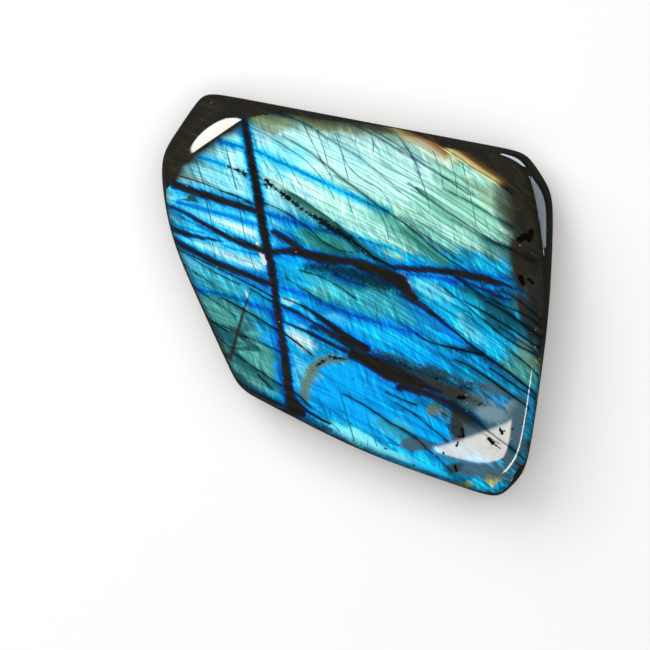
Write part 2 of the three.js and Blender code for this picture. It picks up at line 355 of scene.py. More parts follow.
# The olive arc round the deep blue
OLIVE_ARC = (
    ((-11.6, -22.1), (-8.6, -14.8), 0.63, 1.10, 1.15),
    ((-8.8, -15.0), (-2.8, -14.1), 0.57, 1.10, 0.70),
)
# Layer edges: start, end and bow as for strokes, the side that the colour lies on (1 is to the left
# of the way from start to end), how soft the edge is and how far the colour reaches from it in mm,
# the colour and its strength.
FOLDS = (
    ((-24.1, 27.9), (0.8, 10.7), 0.77, -1, 0.1, 1.7, "olive", 0.55),  # above the flecks
    ((-17.6, 23.6), (2.1, 9.4), 0.90, -1, 0.1, 4.2, "forest", 1.00),
    ((-12.5, 15.4), (0.8, 7.7), -1.07, -1, 0.2, 2.6, "deep_teal", 0.90),  # below the flecks
    ((-2.8, 14.2), (9.4, 5.1), -0.64, -1, 0.2, 3.2, "forest", 0.80),  # from the flecks to the knot
    ((3.0, 19.7), (22.3, 5.1), -0.04, -1, 0.1, 4.6, "green", 0.90),  # the long layer edge
    ((8.1, 15.4), (21.0, 5.6), -0.26, -1, 0.1, 2.2, "forest", 0.85),
    ((14.3, 20.8), (33.9, 8.6), -0.34, -1, 0.1, 3.0, "green", 0.60),  # right of the middle
    ((25.7, 13.7), (36.0, 7.3), -0.04, -1, 0.1, 3.0, "deep_teal", 0.80),
    ((17.5, 23.0), (34.7, 13.3), 0.28, -1, 0.1, 3.0, "green", 0.50),
    ((20.1, 3.4), (40.1, -10.1), 0.28, -1, 0.1, 3.2, "deep_teal", 0.90),  # towards the right rim
    ((25.7, -4.7), (40.1, -14.2), -0.48, 1, 0.1, 2.6, "deep_teal", 0.80),
    ((15.4, -3.9), (34.7, -18.7), -0.39, -1, 0.1, 2.4, "cobalt", 0.45),  # from the lower branch
    ((22.3, -9.9), (39.0, -22.3), 0.40, -1, 0.1, 2.6, "deep_teal", 0.60),
    ((19.7, -12.5), (35.1, -23.2), 0.37, -1, 0.1, 2.4, "deep_teal", 0.70),
    ((12.8, -7.9), (26.1, -12.5), -1.19, 1, 0.1, 1.6, "deep_teal", 0.60),  # brown wisp
    ((3.8, -25.8), (15.4, -33.5), 0.40, -1, 0.2, 2.4, "deep_teal", 0.60),  # in the deep blue
    ((-29.2, -0.7), (-16.4, -8.4), 0.22, -1, 0.1, 2.2, "deep_teal", 0.60),  # lower left
    ((-33.1, -4.7), (-25.4, -9.9), 0.21, -1, 0.1, 2.6, "deep_teal", 0.90),
    ((-27.1, -12.5), (-15.9, -19.8), -0.20, -1, 0.1, 2.8, "deep_teal", 0.80),
)
# Where the flash turns brown or olive and then gives way to the dark stone, written as layer edges
EDGES = (
    ((25.7, 37.3), (33.0, -1.3), 1.89, 1, 3.0, 60.0, "umber", 0.75),  # towards the right rim
    ((30.4, 45.9), (39.0, -22.8), -0.82, 1, 2.2, 60.0, "stone", 1.00),
    ((-35.0, 38.6), (17.5, 31.5), -0.16, 1, 2.4, 20.0, "olive", 0.75),  # towards the top rim
    ((-35.0, 40.3), (17.5, 33.7), -0.14, 1, 1.4, 20.0, "stone", 1.00),
)
# Where the flash goes on round the rim, in broad strokes
RIM_GLOW = (
    ((-25.0, 37.9), (-12.0, 37.3), 0.00, -2.00, 2.20),  # top
    ((-12.0, 37.3), (15.0, 33.6), 0.00, 2.20, 2.20),
    ((-40.0, 21.0), (-31.6, -4.4), 0.00, 1.60, 1.60),  # left
    ((-31.6, -4.4), (-24.9, -18.4), 0.00, 1.60, 1.60),
    ((-24.9, -18.4), (-9.0, -27.8), 0.00, 1.80, 2.00),
    ((-9.0, -27.8), (21.2, -41.3), 0.00, 2.40, 2.40),  # bottom
    ((21.2, -41.3), (31.0, -41.0), 0.00, 2.00, 2.00),
    ((36.3, -34.9), (40.4, -10.2), 0.00, 1.50, 1.50),  # right
)
# Open pits
PITS = (
    ((34.6, 11.6), (35.7, 12.3), 0.00, 0.64, 0.73),  # large pair near the right rim
    ((36.6, 11.6), (37.1, 13.3), 0.00, 0.56, 0.60),
    ((34.9, 3.4), (35.4, 2.1), 0.00, 0.52, 0.43),
    ((36.6, 3.2), (37.5, 2.4), 0.00, 0.21, 0.34),
    ((21.6, -22.2), (22.5, -22.3), 0.00, 0.43, 0.47),  # in the grey corner
    ((28.1, -31.0), (29.1, -32.0), 0.00, 0.34, 0.41),
    ((29.1, -32.0), (30.6, -33.3), 0.00, 0.11, 0.06),
    ((30.4, -28.8), (30.9, -29.8), 0.00, 0.13, 0.34),
    ((30.9, -29.8), (31.5, -29.4), 0.00, 0.30, 0.13),
    ((22.3, -28.8), (22.7, -30.5), 0.00, 0.13, 0.32),
    ((21.8, -30.5), (22.9, -30.7), 0.00, 0.26, 0.17),
    ((21.2, -32.6), (21.6, -31.8), 0.00, 0.28, 0.17),
    ((18.2, -34.0), (18.3, -34.3), 0.00, 0.19, 0.19),
    ((20.9, -36.9), (21.2, -38.0), 0.00, 0.26, 0.19),
    ((25.9, -24.0), (26.6, -23.6), 0.00, 0.17, 0.11),
    ((33.0, -29.0), (33.4, -29.1), 0.00, 0.15, 0.13),
    ((16.7, -18.0), (16.9, -18.0), 0.00, 0.19, 0.19),
    ((-1.1, -18.2), (-0.9, -18.2), 0.00, 0.06, 0.06),
    ((5.7, -33.1), (6.0, -33.3), 0.00, 0.13, 0.13),
    ((12.2, -37.1), (12.4, -37.3), 0.00, 0.13, 0.13),
)
# Oval patches of colour, laid on in turn: colour, middle, half length and half width in mm, turn in
# degrees, strength.
ZONES = (
    ("moss", (34.7, 22.3), (15.0, 15.0), 0, 1.00),  # towards the right rim
    ("sky", (-30.7, 20.2), (11.2, 14.9), 10, 1.00),  # upper left
    ("ice", (-25.4, 13.3), (4.3, 2.6), -24, 0.85),
    ("ice", (-28.6, 15.0), (3.4, 1.3), -24, 0.50),
    ("aqua", (-31.4, 26.2), (4.7, 1.9), -20, 0.60),
    ("aqua", (-28.6, 30.9), (3.4, 1.5), -15, 0.50),
    ("azure", (-27.1, 21.0), (5.6, 1.3), -24, 0.40),
    ("ice", (-27.1, 8.1), (5.2, 1.3), -22, 0.55),
    ("mint", (-37.4, 24.9), (1.5, 1.7), -20, 0.80),  # by the left rim
    ("sea", (-37.8, 15.4), (1.7, 0.9), -15, 0.60),
    ("olive", (-37.6, 20.9), (1.7, 0.6), -8, 0.90),
    ("sea", (-31.0, 3.0), (7.3, 2.6), -25, 0.80),  # lower left
    ("teal", (-27.9, -5.6), (7.7, 5.6), -40, 0.90),
    ("teal", (-22.8, -14.6), (6.0, 7.7), 60, 0.95),
    ("deep_teal", (-24.5, -11.6), (1.7, 3.9), -20, 0.80),
    ("deep_teal", (-29.2, -9.0), (3.0, 1.3), -32, 0.70),
    ("deep_teal", (-21.9, -21.0), (7.3, 1.7), -30, 0.80),
    ("blue", (-16.1, -9.9), (3.0, 9.4), 6, 0.70),
    ("mint", (-5.0, 27.0), (21.5, 10.3), -14, 1.00),  # top middle
    ("aqua", (-17.9, 29.8), (6.4, 4.3), -20, 0.85),
    ("sky", (-17.9, 20.2), (4.7, 1.7), -26, 0.60),
    ("aqua", (-9.9, 17.6), (4.3, 1.3), -28, 0.40),
    ("leaf", (15.4, 20.2), (18.9, 9.4), -28, 0.90),  # upper right
    ("mint", (5.7, 27.7), (9.9, 7.3), -30, 0.85),
    ("sky", (-2.8, 29.8), (6.4, 1.5), -34, 0.45),
    ("leaf", (-1.8, 16.3), (10.7, 2.6), -34, 0.70),  # under the first vein
    ("green", (-7.8, 11.2), (6.9, 2.6), -26, 0.90),  # under the flecks
    ("leaf", (7.2, 12.4), (4.7, 3.0), -40, 0.75),
    ("green", (19.3, 10.7), (7.3, 1.9), -32, 0.40),
    ("azure", (26.1, 5.8), (7.7, 2.1), -12, 0.95),  # above the upper branch
    ("azure", (15.4, 6.9), (8.6, 0.9), -5, 0.60),
    ("tan", (-18.9, 36.9), (4.3, 1.5), -12, 0.80),  # top edge
    ("tan", (-8.2, 37.1), (7.7, 1.1), -10, 0.80),
    ("tan", (6.8, 35.0), (8.6, 0.9), -12, 0.70),
    ("leaf", (27.4, 22.7), (6.4, 3.0), -34, 1.00),
    ("azure", (-12.9, -1.3), (4.7, 9.0), -10, 0.70),  # right of the main seam
    ("ice", (-14.4, -1.9), (2.1, 1.1), -28, 0.95),
    ("ice", (-12.1, -9.0), (4.3, 1.7), -38, 0.85),
    ("aqua", (-12.5, -16.7), (3.0, 2.6), -60, 0.60),
    ("aqua", (-6.1, -5.2), (3.9, 1.5), -24, 0.50),
    ("blue", (-12.9, 6.9), (4.3, 1.3), -20, 0.90),
    ("sea", (-6.1, 0.2), (7.7, 1.9), -20, 0.95),  # middle
    ("teal", (-9.9, 1.3), (3.4, 1.3), -20, 0.60),
    ("deep_teal", (6.4, -1.3), (7.7, 1.7), -16, 0.60),
    ("sea", (8.0, -2.6), (12.5, 3.4), -20, 0.90),
    ("blue", (17.5, -7.7), (8.6, 3.0), -30, 0.80),
    ("azure", (20.8, -2.4), (11.2, 4.3), -36, 0.95),  # right
    ("aqua", (15.4, 0.9), (5.6, 1.9), -30, 0.60),
    ("aqua", (24.0, -7.7), (3.4, 1.5), -50, 0.60),
    ("deep_teal", (30.4, -3.9), (4.3, 3.4), -36, 0.90),
    ("azure", (28.7, -11.0), (4.7, 1.9), -40, 0.70),
    ("blue", (7.9, -10.5), (15.0, 3.4), -17, 0.90),  # above the big diagonal
    ("azure", (5.7, -9.0), (8.6, 1.7), -17, 0.60),
    ("deep_teal", (12.8, -15.9), (7.3, 1.7), -18, 0.80),
    ("blue", (-1.8, -23.2), (11.6, 9.4), -20, 1.00),  # lower middle
    ("blue", (11.1, -29.2), (9.4, 6.4), -25, 0.90),
    ("sea", (8.1, -28.8), (6.0, 1.9), -32, 0.70),
    ("slate", (12.8, -32.2), (4.7, 1.3), -10, 0.85),
    ("azure", (3.6, -32.6), (11.2, 2.1), -22, 0.70),  # along the lower rim
    ("azure", (-2.2, -28.8), (3.9, 1.7), -25, 0.90),
    ("aqua", (0.8, -31.6), (6.0, 1.1), -25, 0.95),
    ("azure", (12.4, -35.6), (4.7, 1.7), -20, 0.80),
    ("azure", (13.3, -36.9), (5.6, 1.1), -20, 0.90),
    ("teal", (34.7, -15.5), (4.7, 3.4), -40, 0.90),  # right rim
    ("slate", (30.4, -22.8), (7.3, 2.6), -20, 0.70),  # lower right: the stone's grey, partly a painted reflection of the grey round the small window
    ("cloud", (28.7, -25.3), (6.0, 3.2), -20, 0.95),
    ("slate", (27.8, -29.6), (7.3, 3.4), -15, 0.90),
    ("slate", (31.5, -34.6), (5.6, 5.6), -30, 0.90),
    ("blue", (29.8, -21.9), (2.6, 1.3), -5, 0.60),
    ("umber", (21.8, -21.5), (3.9, 1.7), -22, 0.75),
    ("umber", (20.3, -27.9), (0.9, 3.4), -10, 0.60),
    ("olive", (16.7, -24.9), (1.1, 1.9), -20, 0.80),
    ("straw", (22.6, -40.8), (1.6, 1.0), 0, 0.90),  # glints along the lower rim
    ("azure", (26.0, -41.0), (2.6, 0.8), 0, 0.90),
    ("straw", (30.4, -40.3), (1.7, 1.3), -40, 0.95),
    ("azure", (31.7, -37.8), (1.0, 1.4), -20, 0.90),
    ("azure", (39.4, 3.6), (0.5, 1.3), 10, 1.00),  # right rim
    ("straw", (38.3, -13.4), (0.9, 3.0), 5, 0.80),
    ("olive", (35.2, -1.8), (1.0, 3.4), 30, 0.70),
    ("olive", (34.4, 5.2), (1.0, 2.6), 10, 0.80),
)

# Colours that hide the silk and the layers, laid on in the same way
HAZE = (
    ("aqua", (-1.3, -30.1), (6.0, 1.1), -25, 0.55),  # bright band along the lower rim
    ("aqua", (7.2, -34.3), (5.6, 0.9), -22, 0.55),
    ("azure", (15.0, -37.8), (5.2, 0.9), -18, 0.90),
    ("deep_teal", (-1.3, 3.7), (9.2, 2.4), -14, 0.60),  # under the dark knot
    ("moss", (-19.4, 36.5), (5.2, 1.5), -14, 0.65),  # shades along the top rim
    ("moss", (-9.5, 36.7), (6.0, 0.9), -14, 0.50),
    ("tan", (7.9, 35.0), (6.0, 0.6), -14, 0.50),
    ("moss", (29.1, 20.6), (4.3, 2.6), -32, 0.55),  # by the dark corner
    ("moss", (25.3, 23.2), (3.4, 1.1), -34, 0.50),
    ("umber", (32.6, 17.8), (6.0, 2.8), -68, 0.70),
    ("umber", (35.0, 6.2), (6.0, 2.6), 98, 1.00),  # right rim
    ("umber", (36.4, -5.2), (5.2, 1.5), 102, 0.90),
    ("moss", (36.0, -12.5), (3.4, 1.3), 110, 0.50),
    ("umber", (19.1, -20.8), (6.4, 1.3), -22, 0.80),  # where the big diagonal fades
    # this slate is partly a painted reflection of the grey round the small window
    ("slate", (25.0, -28.4), (5.2, 3.2), -30, 0.95),
    ("slate", (22.3, -33.0), (5.2, 2.1), 12, 0.75),
    ("umber", (22.3, -25.1), (4.3, 1.9), -38, 0.95),
    ("umber", (21.2, -28.8), (3.2, 1.3), -78, 0.85),
    ("slate", (24.8, -23.6), (3.2, 2.4), -20, 0.90),  # grey corner: the stone's grey, partly a painted reflection of the grey round the small window
    ("slate", (29.1, -20.2), (3.4, 1.1), -14, 0.80),
    ("cloud", (28.3, -26.0), (3.2, 1.7), -15, 0.90),
    ("cloud", (33.0, -24.5), (1.9, 1.3), 80, 0.70),
    ("slate", (33.6, -30.1), (7.7, 2.4), 78, 0.95),
    ("slate", (26.1, -38.0), (6.0, 1.7), -12, 0.85),
    ("umber", (21.0, -37.3), (1.9, 1.3), 20, 0.70),
    ("slate", (12.6, -32.4), (3.4, 1.1), -10, 0.75),
    ("olive", (16.3, -24.5), (1.9, 1.1), 65, 0.85),
    ("amber", (17.5, -25.5), (1.1, 0.5), 60, 0.50),
)
# The dark corner, with the gold glow along its edge, written as layer edges
CORNER = (
    ((8.8, 37.4), (22.3, 28.5), 0.00, -1, 0.1, 4.6, "gold", 0.60),  # glow below the corner's edge
    ((10.5, 36.3), (20.8, 29.4), 0.00, -1, 0.1, 2.9, "amber", 1.00),
    ((-3.9, 45.9), (47.6, 11.6), 0.00, 1, 0.1, 90.0, "stone", 1.00),  # the corner
    ((14.6, 33.6), (32.1, 21.9), 0.00, 1, 0.1, 2.9, "amber", 0.95),  # glow above its edge
    ((17.2, 31.8), (31.0, 22.6), 0.00, 1, 0.1, 1.7, "gold", 1.00),
)
# The smooth middles of the deep blue and of the pale top, where little silk shows
CALM = (
    ((-4.0, -20.0), (10.5, -30.0), 0.00, 4.00, 3.00),
    ((-12.0, 30.0), (26.0, 18.0), 0.00, 4.50, 4.00),
)

# How the marks and the flash lie in the stone
LAYER_SLANT = (0.30, -0.20, 0.0)  # mm that the marks move sideways for each mm of depth
LAYER_SLIDE = (12.0, -6.8, 0.0)  # mm that the patches of colour slide from one layer to another
LAYER_BEND = 0.0028  # how much the layers curve over the face, in 1 / mm
LAYER_TILT = 0.06  # how much the layers change the way that the flash seems to face
LINE_WANDER = 0.7  # mm that seams, veins, cracks and layer edges stray from their course
SILK_WANDER = 3.0  # the same for the silk
HAZE_WANDER = 3.0  # the same for the haze and the borders of the dark stone
ZONE_WANDER = 6.0  # the same for the patches of colour
FOLD_SHIFT = 0.05  # mm that the layer edges lie to the left of the lines and below them
ZONE_BORDER = (1.35, 0.65)  # where a patch starts and ends its rise, as shares of its half widths
FOLD_ENDS = (0.5, 0.32)  # the same for a layer edge, as shares of its length from its middle
FLASH_FACING = (0.13, -0.10, 0.986)  # the way that a surface faces where its flash is strongest; the flash is a painted sheen, shown on faces turned up to the overhead camera
FLASH_GAIN = (0.0015, 0, 0)  # share by which the flash gains towards the right, for each mm
MIDDLE_GREY = (0.5, 0.5, 0.5)  # mean of a noise
FAR = 1000.0  # mm, further than any stroke

# How the surface takes the light
BODY_ROUGHNESS = 0.35  # of the coloured stone under the polish
POLISH_ROUGHNESS = 0.035
POLISH_INDEX = 1.56  # refractive index of labradorite
PIT_DEPTH = 0.3  # of the pits' hollows, in mm

# The stage. Softboxes: name, then bearing, tilt and roll in degrees, distance, width and height in m,
# power in W.
SOFTBOXES = (
    ("ceiling", (90, 0, 0), 1.4, 1.6, 1.6, 25.0),
    ("key", (140, 42, 0), 1.0, 0.7, 0.6, 6.0),
)
# Windows mirrored in the polish: the same, with brightness, shape and tint for the power
WARM = (1.0, 0.98, 0.93)
WARMER = (1.0, 0.95, 0.84)
COOL = (0.72, 0.86, 1.0)
WINDOWS = (
    ("tall_window", (125.8, 47, 180), 0.9, 0.115, 1.26, 19.0, "arch", WARM),
    ("small_window", (-50.0, 21.8, -36), 0.81, 0.140, 0.090, 13.0, "wedge", WARMER),
    ("strip", (-31, 38, 0), 0.8, 0.30, 0.11, 15.0, "band", WARM),
)
# Cool panes near the floor: name, x and y in mm, turn in degrees, width and height in m, brightness
FLOOR_PANES = (
    ("corner_glow", (46.3, 47.2, -20), 0.015, 0.018, 4.0),
    ("side_glow", (69.5, 26.0, -78), 0.026, 0.005, 7.0),
    ("side_panel", (64.5, 25.0, -78), 0.022, 0.015, 1.8),
)
PANE_HEIGHT = 1.0  # of the panes above the floor, in mm
CARD_HEIGHT = 0.3 * MM
CARD_RADIUS = 2.6  # in m, as is the floor's half width
CARD_COLOUR = (0.02, 0.02, 0.02, 1.0)
FLOOR_HALF_WIDTH = 2.5
FLOOR_SHADE = (0.8, 0.8, 0.8)  # of the floor's faint clouds
SKY_COLOUR = (0.9, 0.95, 1.0, 1.0)
SENSOR_WIDTH = 36  # of the camera, in mm


class StoneForm(bpy.types.PropertyGroup):
    """Sizes of the ground stone."""

    height: bpy.props.FloatProperty(
        name="Height", description="From the resting flat to the crown of the flash face",
        default=CAD_HIGH.z - CAD_LOW.z, unit="LENGTH")
    heart: bpy.props.FloatProperty(
        name="Heart", description="Height of the point that the faces are ground around",
        default=12 * MM, unit="LENGTH")
    girdle: bpy.props.FloatProperty(
        name="Girdle", description="Height where the walls reach furthest out",
        default=10 * MM, unit="LENGTH")
    crown_radius: bpy.props.FloatProperty(
        name="Crown radius", description="Radius of the gentle dome of the flash face",
        default=330 * MM, unit="LENGTH")
    back_radius: bpy.props.FloatProperty(
        name="Back radius", description="Radius of the gentle dome of the back",
        default=260 * MM, unit="LENGTH")
    face_edge: bpy.props.FloatProperty(
        name="Face edge", description="Softness of the rims of both faces",
        default=0.8 * MM, unit="LENGTH")
    flat_depth: bpy.props.FloatProperty(
        name="Flat depth", description="How much of the back's dome the resting flat takes away",
        default=0.7 * MM, unit="LENGTH")


def colour_property(name, description, red, green, blue):
    """A colour that a user can change, given as it looks on a screen."""
    return bpy.props.FloatVectorProperty(
        name=name, description=description, default=(red, green, blue),
        subtype="COLOR_GAMMA", size=3, min=0, max=1)


class StoneColours(bpy.types.PropertyGroup):
    """Colours of the flash, the seams and the dark stone."""

    base: colour_property("Base", "Flash where no other colour lies", 0.02, 0.60, 0.80)
    ice: colour_property("Ice", "Nearly white flash of the upper left", 0.86, 1.00, 1.00)
    sky: colour_property("Sky", "Pale blue flash of the upper left", 0.58, 0.91, 0.98)
    azure: colour_property("Azure", "Bright sky-blue flash", 0.08, 0.76, 0.97)
    aqua: colour_property("Aqua", "Pale blue-green flash", 0.50, 0.92, 0.97)
    mint: colour_property("Mint", "Pale flash of the top", 0.80, 1.00, 0.97)
    leaf: colour_property("Leaf", "Pale green flash of the upper right", 0.72, 0.96, 0.84)
    green: colour_property("Green", "Darker green flash", 0.24, 0.60, 0.52)
    sea: colour_property("Sea", "Grey-blue flash", 0.24, 0.70, 0.76)
    teal: colour_property("Teal", "Flash of the lower left", 0.31, 0.59, 0.54)
    deep_teal: colour_property("Deep teal", "Darkest flash", 0.03, 0.29, 0.34)
    forest: colour_property("Forest", "Dark green in the shade of a layer edge", 0.12, 0.32, 0.27)
    blue: colour_property("Blue", "Saturated blue flash", 0.00, 0.65, 0.97)
    cobalt: colour_property("Cobalt", "Darkest blue flash", 0.00, 0.42, 0.87)
    glass: colour_property("Glass", "What is left of a flash round the seams and veins", 0.26, 0.86, 1.00)
    vein: colour_property("Vein", "What is left of a flash in the blue veins", 0.10, 0.65, 0.90)
    moss: colour_property("Moss", "Grey-green haze towards the dark stone", 0.44, 0.54, 0.40)
    # Slate and cloud in the lower right are partly the stone's grey and partly a painted reflection of
    # the grey round the small window's mirror image
    slate: colour_property("Slate", "Grey of the lower right corner", 0.24, 0.34, 0.38)
    cloud: colour_property("Cloud", "Pale grey of the lower right corner", 0.40, 0.52, 0.57)
    gold: colour_property("Gold", "Rim of the flash at the dark corner", 1.00, 0.95, 0.68)
    straw: colour_property("Straw", "Yellow glints along the rims", 0.86, 0.76, 0.26)
    amber: colour_property("Amber", "Brown-orange edge of the gold", 0.50, 0.33, 0.11)
    tan: colour_property("Tan", "Warm patches of the top edge", 0.62, 0.58, 0.44)
    olive: colour_property("Olive", "Arc round the deep blue", 0.34, 0.40, 0.25)
    umber: colour_property("Umber", "Brown-black stone at the right rim", 0.15, 0.13, 0.08)
    charcoal: colour_property("Charcoal", "Dark stone without flash", 0.10, 0.10, 0.09)
    brown: colour_property("Brown", "Translucent bands by the big diagonal", 0.16, 0.17, 0.13)
    navy: colour_property("Navy", "Darkest blue, where a seam's border meets it", 0.00, 0.13, 0.25)
    # Pearl paints the pale threads, and also the painted highlights beside the main seam
    pearl_and_glint: colour_property("Pearl", "Scratches and chipped edges", 0.86, 0.84, 0.78)
    thread: colour_property("Thread", "Thin blue-green lines across the layers", 0.03, 0.36, 0.42)
    seam: colour_property("Seam", "Black-brown filling of the seams", 0.08, 0.08, 0.07)
    depth: colour_property("Depth", "What is left of a flash from deeper down", 0.40, 0.58, 0.60)
    silk: colour_property("Silk", "What is left of a flash between the silky strokes", 0.55, 0.80, 0.88)
    ink: colour_property("Ink", "Blue-black of the thin lines", 0.00, 0.07, 0.10)
    pit: colour_property("Pit", "Black of the open pits", 0.03, 0.03, 0.03)


class StageSettings(bpy.types.PropertyGroup):
    """Camera and lights."""

    camera_height: bpy.props.FloatProperty(
        name="Camera height", description="Height of the camera above the floor",
        default=0.5, unit="LENGTH")
    frame_width: bpy.props.FloatProperty(
        name="Frame width", description="Width of the picture at the height of the girdle",
        default=143 * MM, unit="LENGTH")
    camera_x: bpy.props.FloatProperty(
        name="Camera X", description="The camera's place beside the stone's middle",
        default=-7.13 * MM, unit="LENGTH")
    camera_y: bpy.props.FloatProperty(
        name="Camera Y", description="The camera's place above or below the stone's middle",
        default=-6.66 * MM, unit="LENGTH")
    sky: bpy.props.FloatProperty(
        name="Sky", description="Strength of the even light from all round", default=0.08, min=0)
    floor: colour_property("Floor", "Colour of the floor", 0.88, 0.875, 0.87)


def linear(colour):
    """A screen colour as the linear RGBA that a node socket holds."""
    return tuple(
        part / 12.92 if part <= 0.04045 else ((part + 0.055) / 1.055) ** 2.4 for part in colour
    ) + (1.0,)


class GroundForm:
    """The ground faces, and the smooth surface that polishing leaves where they meet."""

    def __init__(self, form):
        self.heart = np.array((0, 0, form.heart))
        self.height = form.height
        self.crown_radius = form.crown_radius
        self.back_radius = form.back_radius
        self.face_edge = form.face_edge
        self.flat_depth = form.flat_depth
        planes = [self.plane(bearing, reach, lean, edge, form.girdle)
                  for bearing, reach, lean, edge in WALLS + BEVELS]
        planes += [self.plane(bearing, reach, -UNDERCUT, edge, form.girdle)
                   for bearing, reach, lean, edge in WALLS]
        self.normals = np.array([normal for normal, offset, edge in planes])
        self.offsets = np.array([offset for normal, offset, edge in planes])
        self.edges = np.array([edge for normal, offset, edge in planes])

    @staticmethod
    def plane(bearing, reach, elevation, edge, girdle):
        """Normal, offset and softness of a flat ground face."""
        level, rise = math.cos(math.radians(elevation)), math.sin(math.radians(elevation))
        turn = math.radians(bearing)
        normal = (level * math.cos(turn), level * math.sin(turn), rise)
        return normal, level * reach * MM + rise * girdle, edge * MM

    def wear(self, points):
        """How far the faces have worn each point away: 1 on the surface, more outside."""
        flats = np.exp((points @ self.normals.T - self.offsets) / self.edges).sum(axis=1)
        level = (points[:, :2] ** 2).sum(axis=1)
        crown = points[:, 2] - self.height + level / (2 * self.crown_radius)
        back = -points[:, 2] - self.flat_depth + level / (2 * self.back_radius)
        return flats + np.exp(crown / self.face_edge) + np.exp(back / self.face_edge)

    def ground(self, directions):
        """Where rays from the heart meet the polished surface, or the flat that it rests on."""
        inside = np.zeros(len(directions))
        outside = np.full(len(directions), OUT_OF_STONE)
        for _ in range(GRIND_STEPS):
            middle = (inside + outside) / 2
            worn = self.wear(self.heart + directions * middle[:, None]) > 1
            outside = np.where(worn, middle, outside)
            inside = np.where(worn, inside, middle)
        points = self.heart + directions * inside[:, None]
        below = points[:, 2] < 0
        points[below] = self.heart - directions[below] * (
            self.heart[2] / directions[below, 2])[:, None]
        return points


def cushion_directions(points):
    """A ball's directions pressed into those of a flat cushion."""
    spread = np.maximum(np.hypot(points[:, 0], points[:, 1]), TINY) ** (BALL_ROUNDING - 1)
    pressed = points * np.column_stack((spread, spread, np.zeros(len(points))))
    pressed[:, 2] = np.sign(points[:, 2]) * BALL_FLATNESS * np.abs(points[:, 2]) ** BALL_ROUNDING
    return pressed / np.linalg.norm(pressed, axis=1)[:, None]


def stone_mesh(form):
    """The whole stone as one closed mesh: a ball whose points are moved out to the ground faces."""
    shape = GroundForm(form)
    bm = bmesh.new()
    bmesh.ops.create_icosphere(bm, subdivisions=BALL_SUBDIVISIONS, radius=1)
    ball = np.array([vertex.co for vertex in bm.verts])
    places = shape.ground(cushion_directions(ball))
    middle = (places.min(axis=0) + places.max(axis=0)) / 2
    places[:, 0] += (CAD_LOW.x + CAD_HIGH.x) / 2 - middle[0]
    places[:, 1] += (CAD_LOW.y + CAD_HIGH.y) / 2 - middle[1]
    for vertex, place in zip(bm.verts, places):
        vertex.co = place
    for face in bm.faces:
        face.smooth = True
    mesh = bpy.data.meshes.new(NODE + "_polished")
    bm.to_mesh(mesh)
    bm.free()
    return mesh


class Wires:
    """Adds nodes to a tree in the order that they are read, and returns their sockets."""

    def __init__(self, tree):
        self.tree = tree

    def node(self, kind, inputs=(), **settings):
        """Add a node, set its options, and give each input a value or another node's socket."""
        node = self.tree.nodes.new(kind)
        node.location = (len(self.tree.nodes) % 40 * 180, -(len(self.tree.nodes) // 40) * 320)
        for name, value in settings.items():
            setattr(node, name, value)
        for key, value in dict(inputs).items():
            if isinstance(value, bpy.types.NodeSocket):
                self.tree.links.new(value, node.inputs[key])
            else:
                node.inputs[key].default_value = value
        return node

    def math(self, operation, *values):
        return self.node("ShaderNodeMath", enumerate(values), operation=operation).outputs[0]

    def times(self, first, second):
        return self.math("MULTIPLY", first, second)

    def plus(self, first, second):
        return self.math("ADD", first, second)

    def minus(self, first, second):
        return self.math("SUBTRACT", first, second)

    def times_plus(self, first, second, third):
        """The first times the second, and the third added."""
        return self.math("MULTIPLY_ADD", first, second, third)

    def vector(self, operation, *values):
        node = self.node("ShaderNodeVectorMath", enumerate(values), operation=operation)
        scalar = operation in ("DOT_PRODUCT", "LENGTH")
        return node.outputs["Value" if scalar else "Vector"]

    def dot(self, first, second):
        return self.vector("DOT_PRODUCT", first, second)

    def scaled(self, vector, scale):
        inputs = {"Vector": vector, "Scale": scale}
        return self.node("ShaderNodeVectorMath", inputs, operation="SCALE").outputs["Vector"]

    def ramp(self, value, start, end, low=0.0, high=1.0):
        """A smooth step from low to high as the value goes from start to end."""
        inputs = {"Value": value, "From Min": start, "From Max": end, "To Min": low, "To Max": high}
        node = self.node("ShaderNodeMapRange", inputs, interpolation_type="SMOOTHSTEP")
        return node.outputs["Result"]

    def mix(self, factor, first, second, blend="MIX"):
        inputs = {0: factor, 6: first, 7: second}
        node = self.node(
            "ShaderNodeMix", inputs, data_type="RGBA", blend_type=blend, clamp_result=True)
        return node.outputs[2]

    def noise(self, vector, scale, detail, roughness=0.5):
        inputs = {"Vector": vector, "Scale": scale, "Detail": detail, "Roughness": roughness}
        return self.node("ShaderNodeTexNoise", inputs)

    def group(self, tree, inputs):
        return self.node("ShaderNodeGroup", inputs, node_tree=tree).outputs[0]


def new_group(name, inputs, outputs):
    """A shader node group with named sockets, and the wires to fill it."""
    tree = bpy.data.node_groups.new(name, "ShaderNodeTree")
    for direction, sockets in (("INPUT", inputs), ("OUTPUT", outputs)):
        for socket_name, kind in sockets:
            tree.interface.new_socket(name=socket_name, in_out=direction, socket_type="NodeSocket" + kind)
    wires = Wires(tree)
    return wires, wires.node("NodeGroupInput").outputs


def close_group(wires, **results):
    """Connect a group's results to its named outputs."""
    wires.node("NodeGroupOutput", results)
    return wires.tree


def sideways(amount):
    """The same amount along x and along y, and none in height."""
    return (amount, amount, 0.0)


# The sockets that line_inputs fills
ALONG_A_LINE = (
    ("Position", "Vector"), ("Start", "Vector"), ("Along axis", "Vector"), ("Across axis", "Vector"),
    ("Arch", "Float"))


def line_inputs(position, start, end, bow):
    """The inputs that place a bowed line: its axes give 0 to 1 along it, and mm to its left."""
    chord = Vector(end) - Vector(start)
    along = chord / chord.length_squared
    across = chord.orthogonal().normalized()
    # The bow is a parabola, which is 4 times as high as the product of the ways to both ends
    return {
        "Position": position, "Start": start + (0,), "Along axis": (*along, 0),
        "Across axis": (*across, 0), "Arch": -4 * bow}


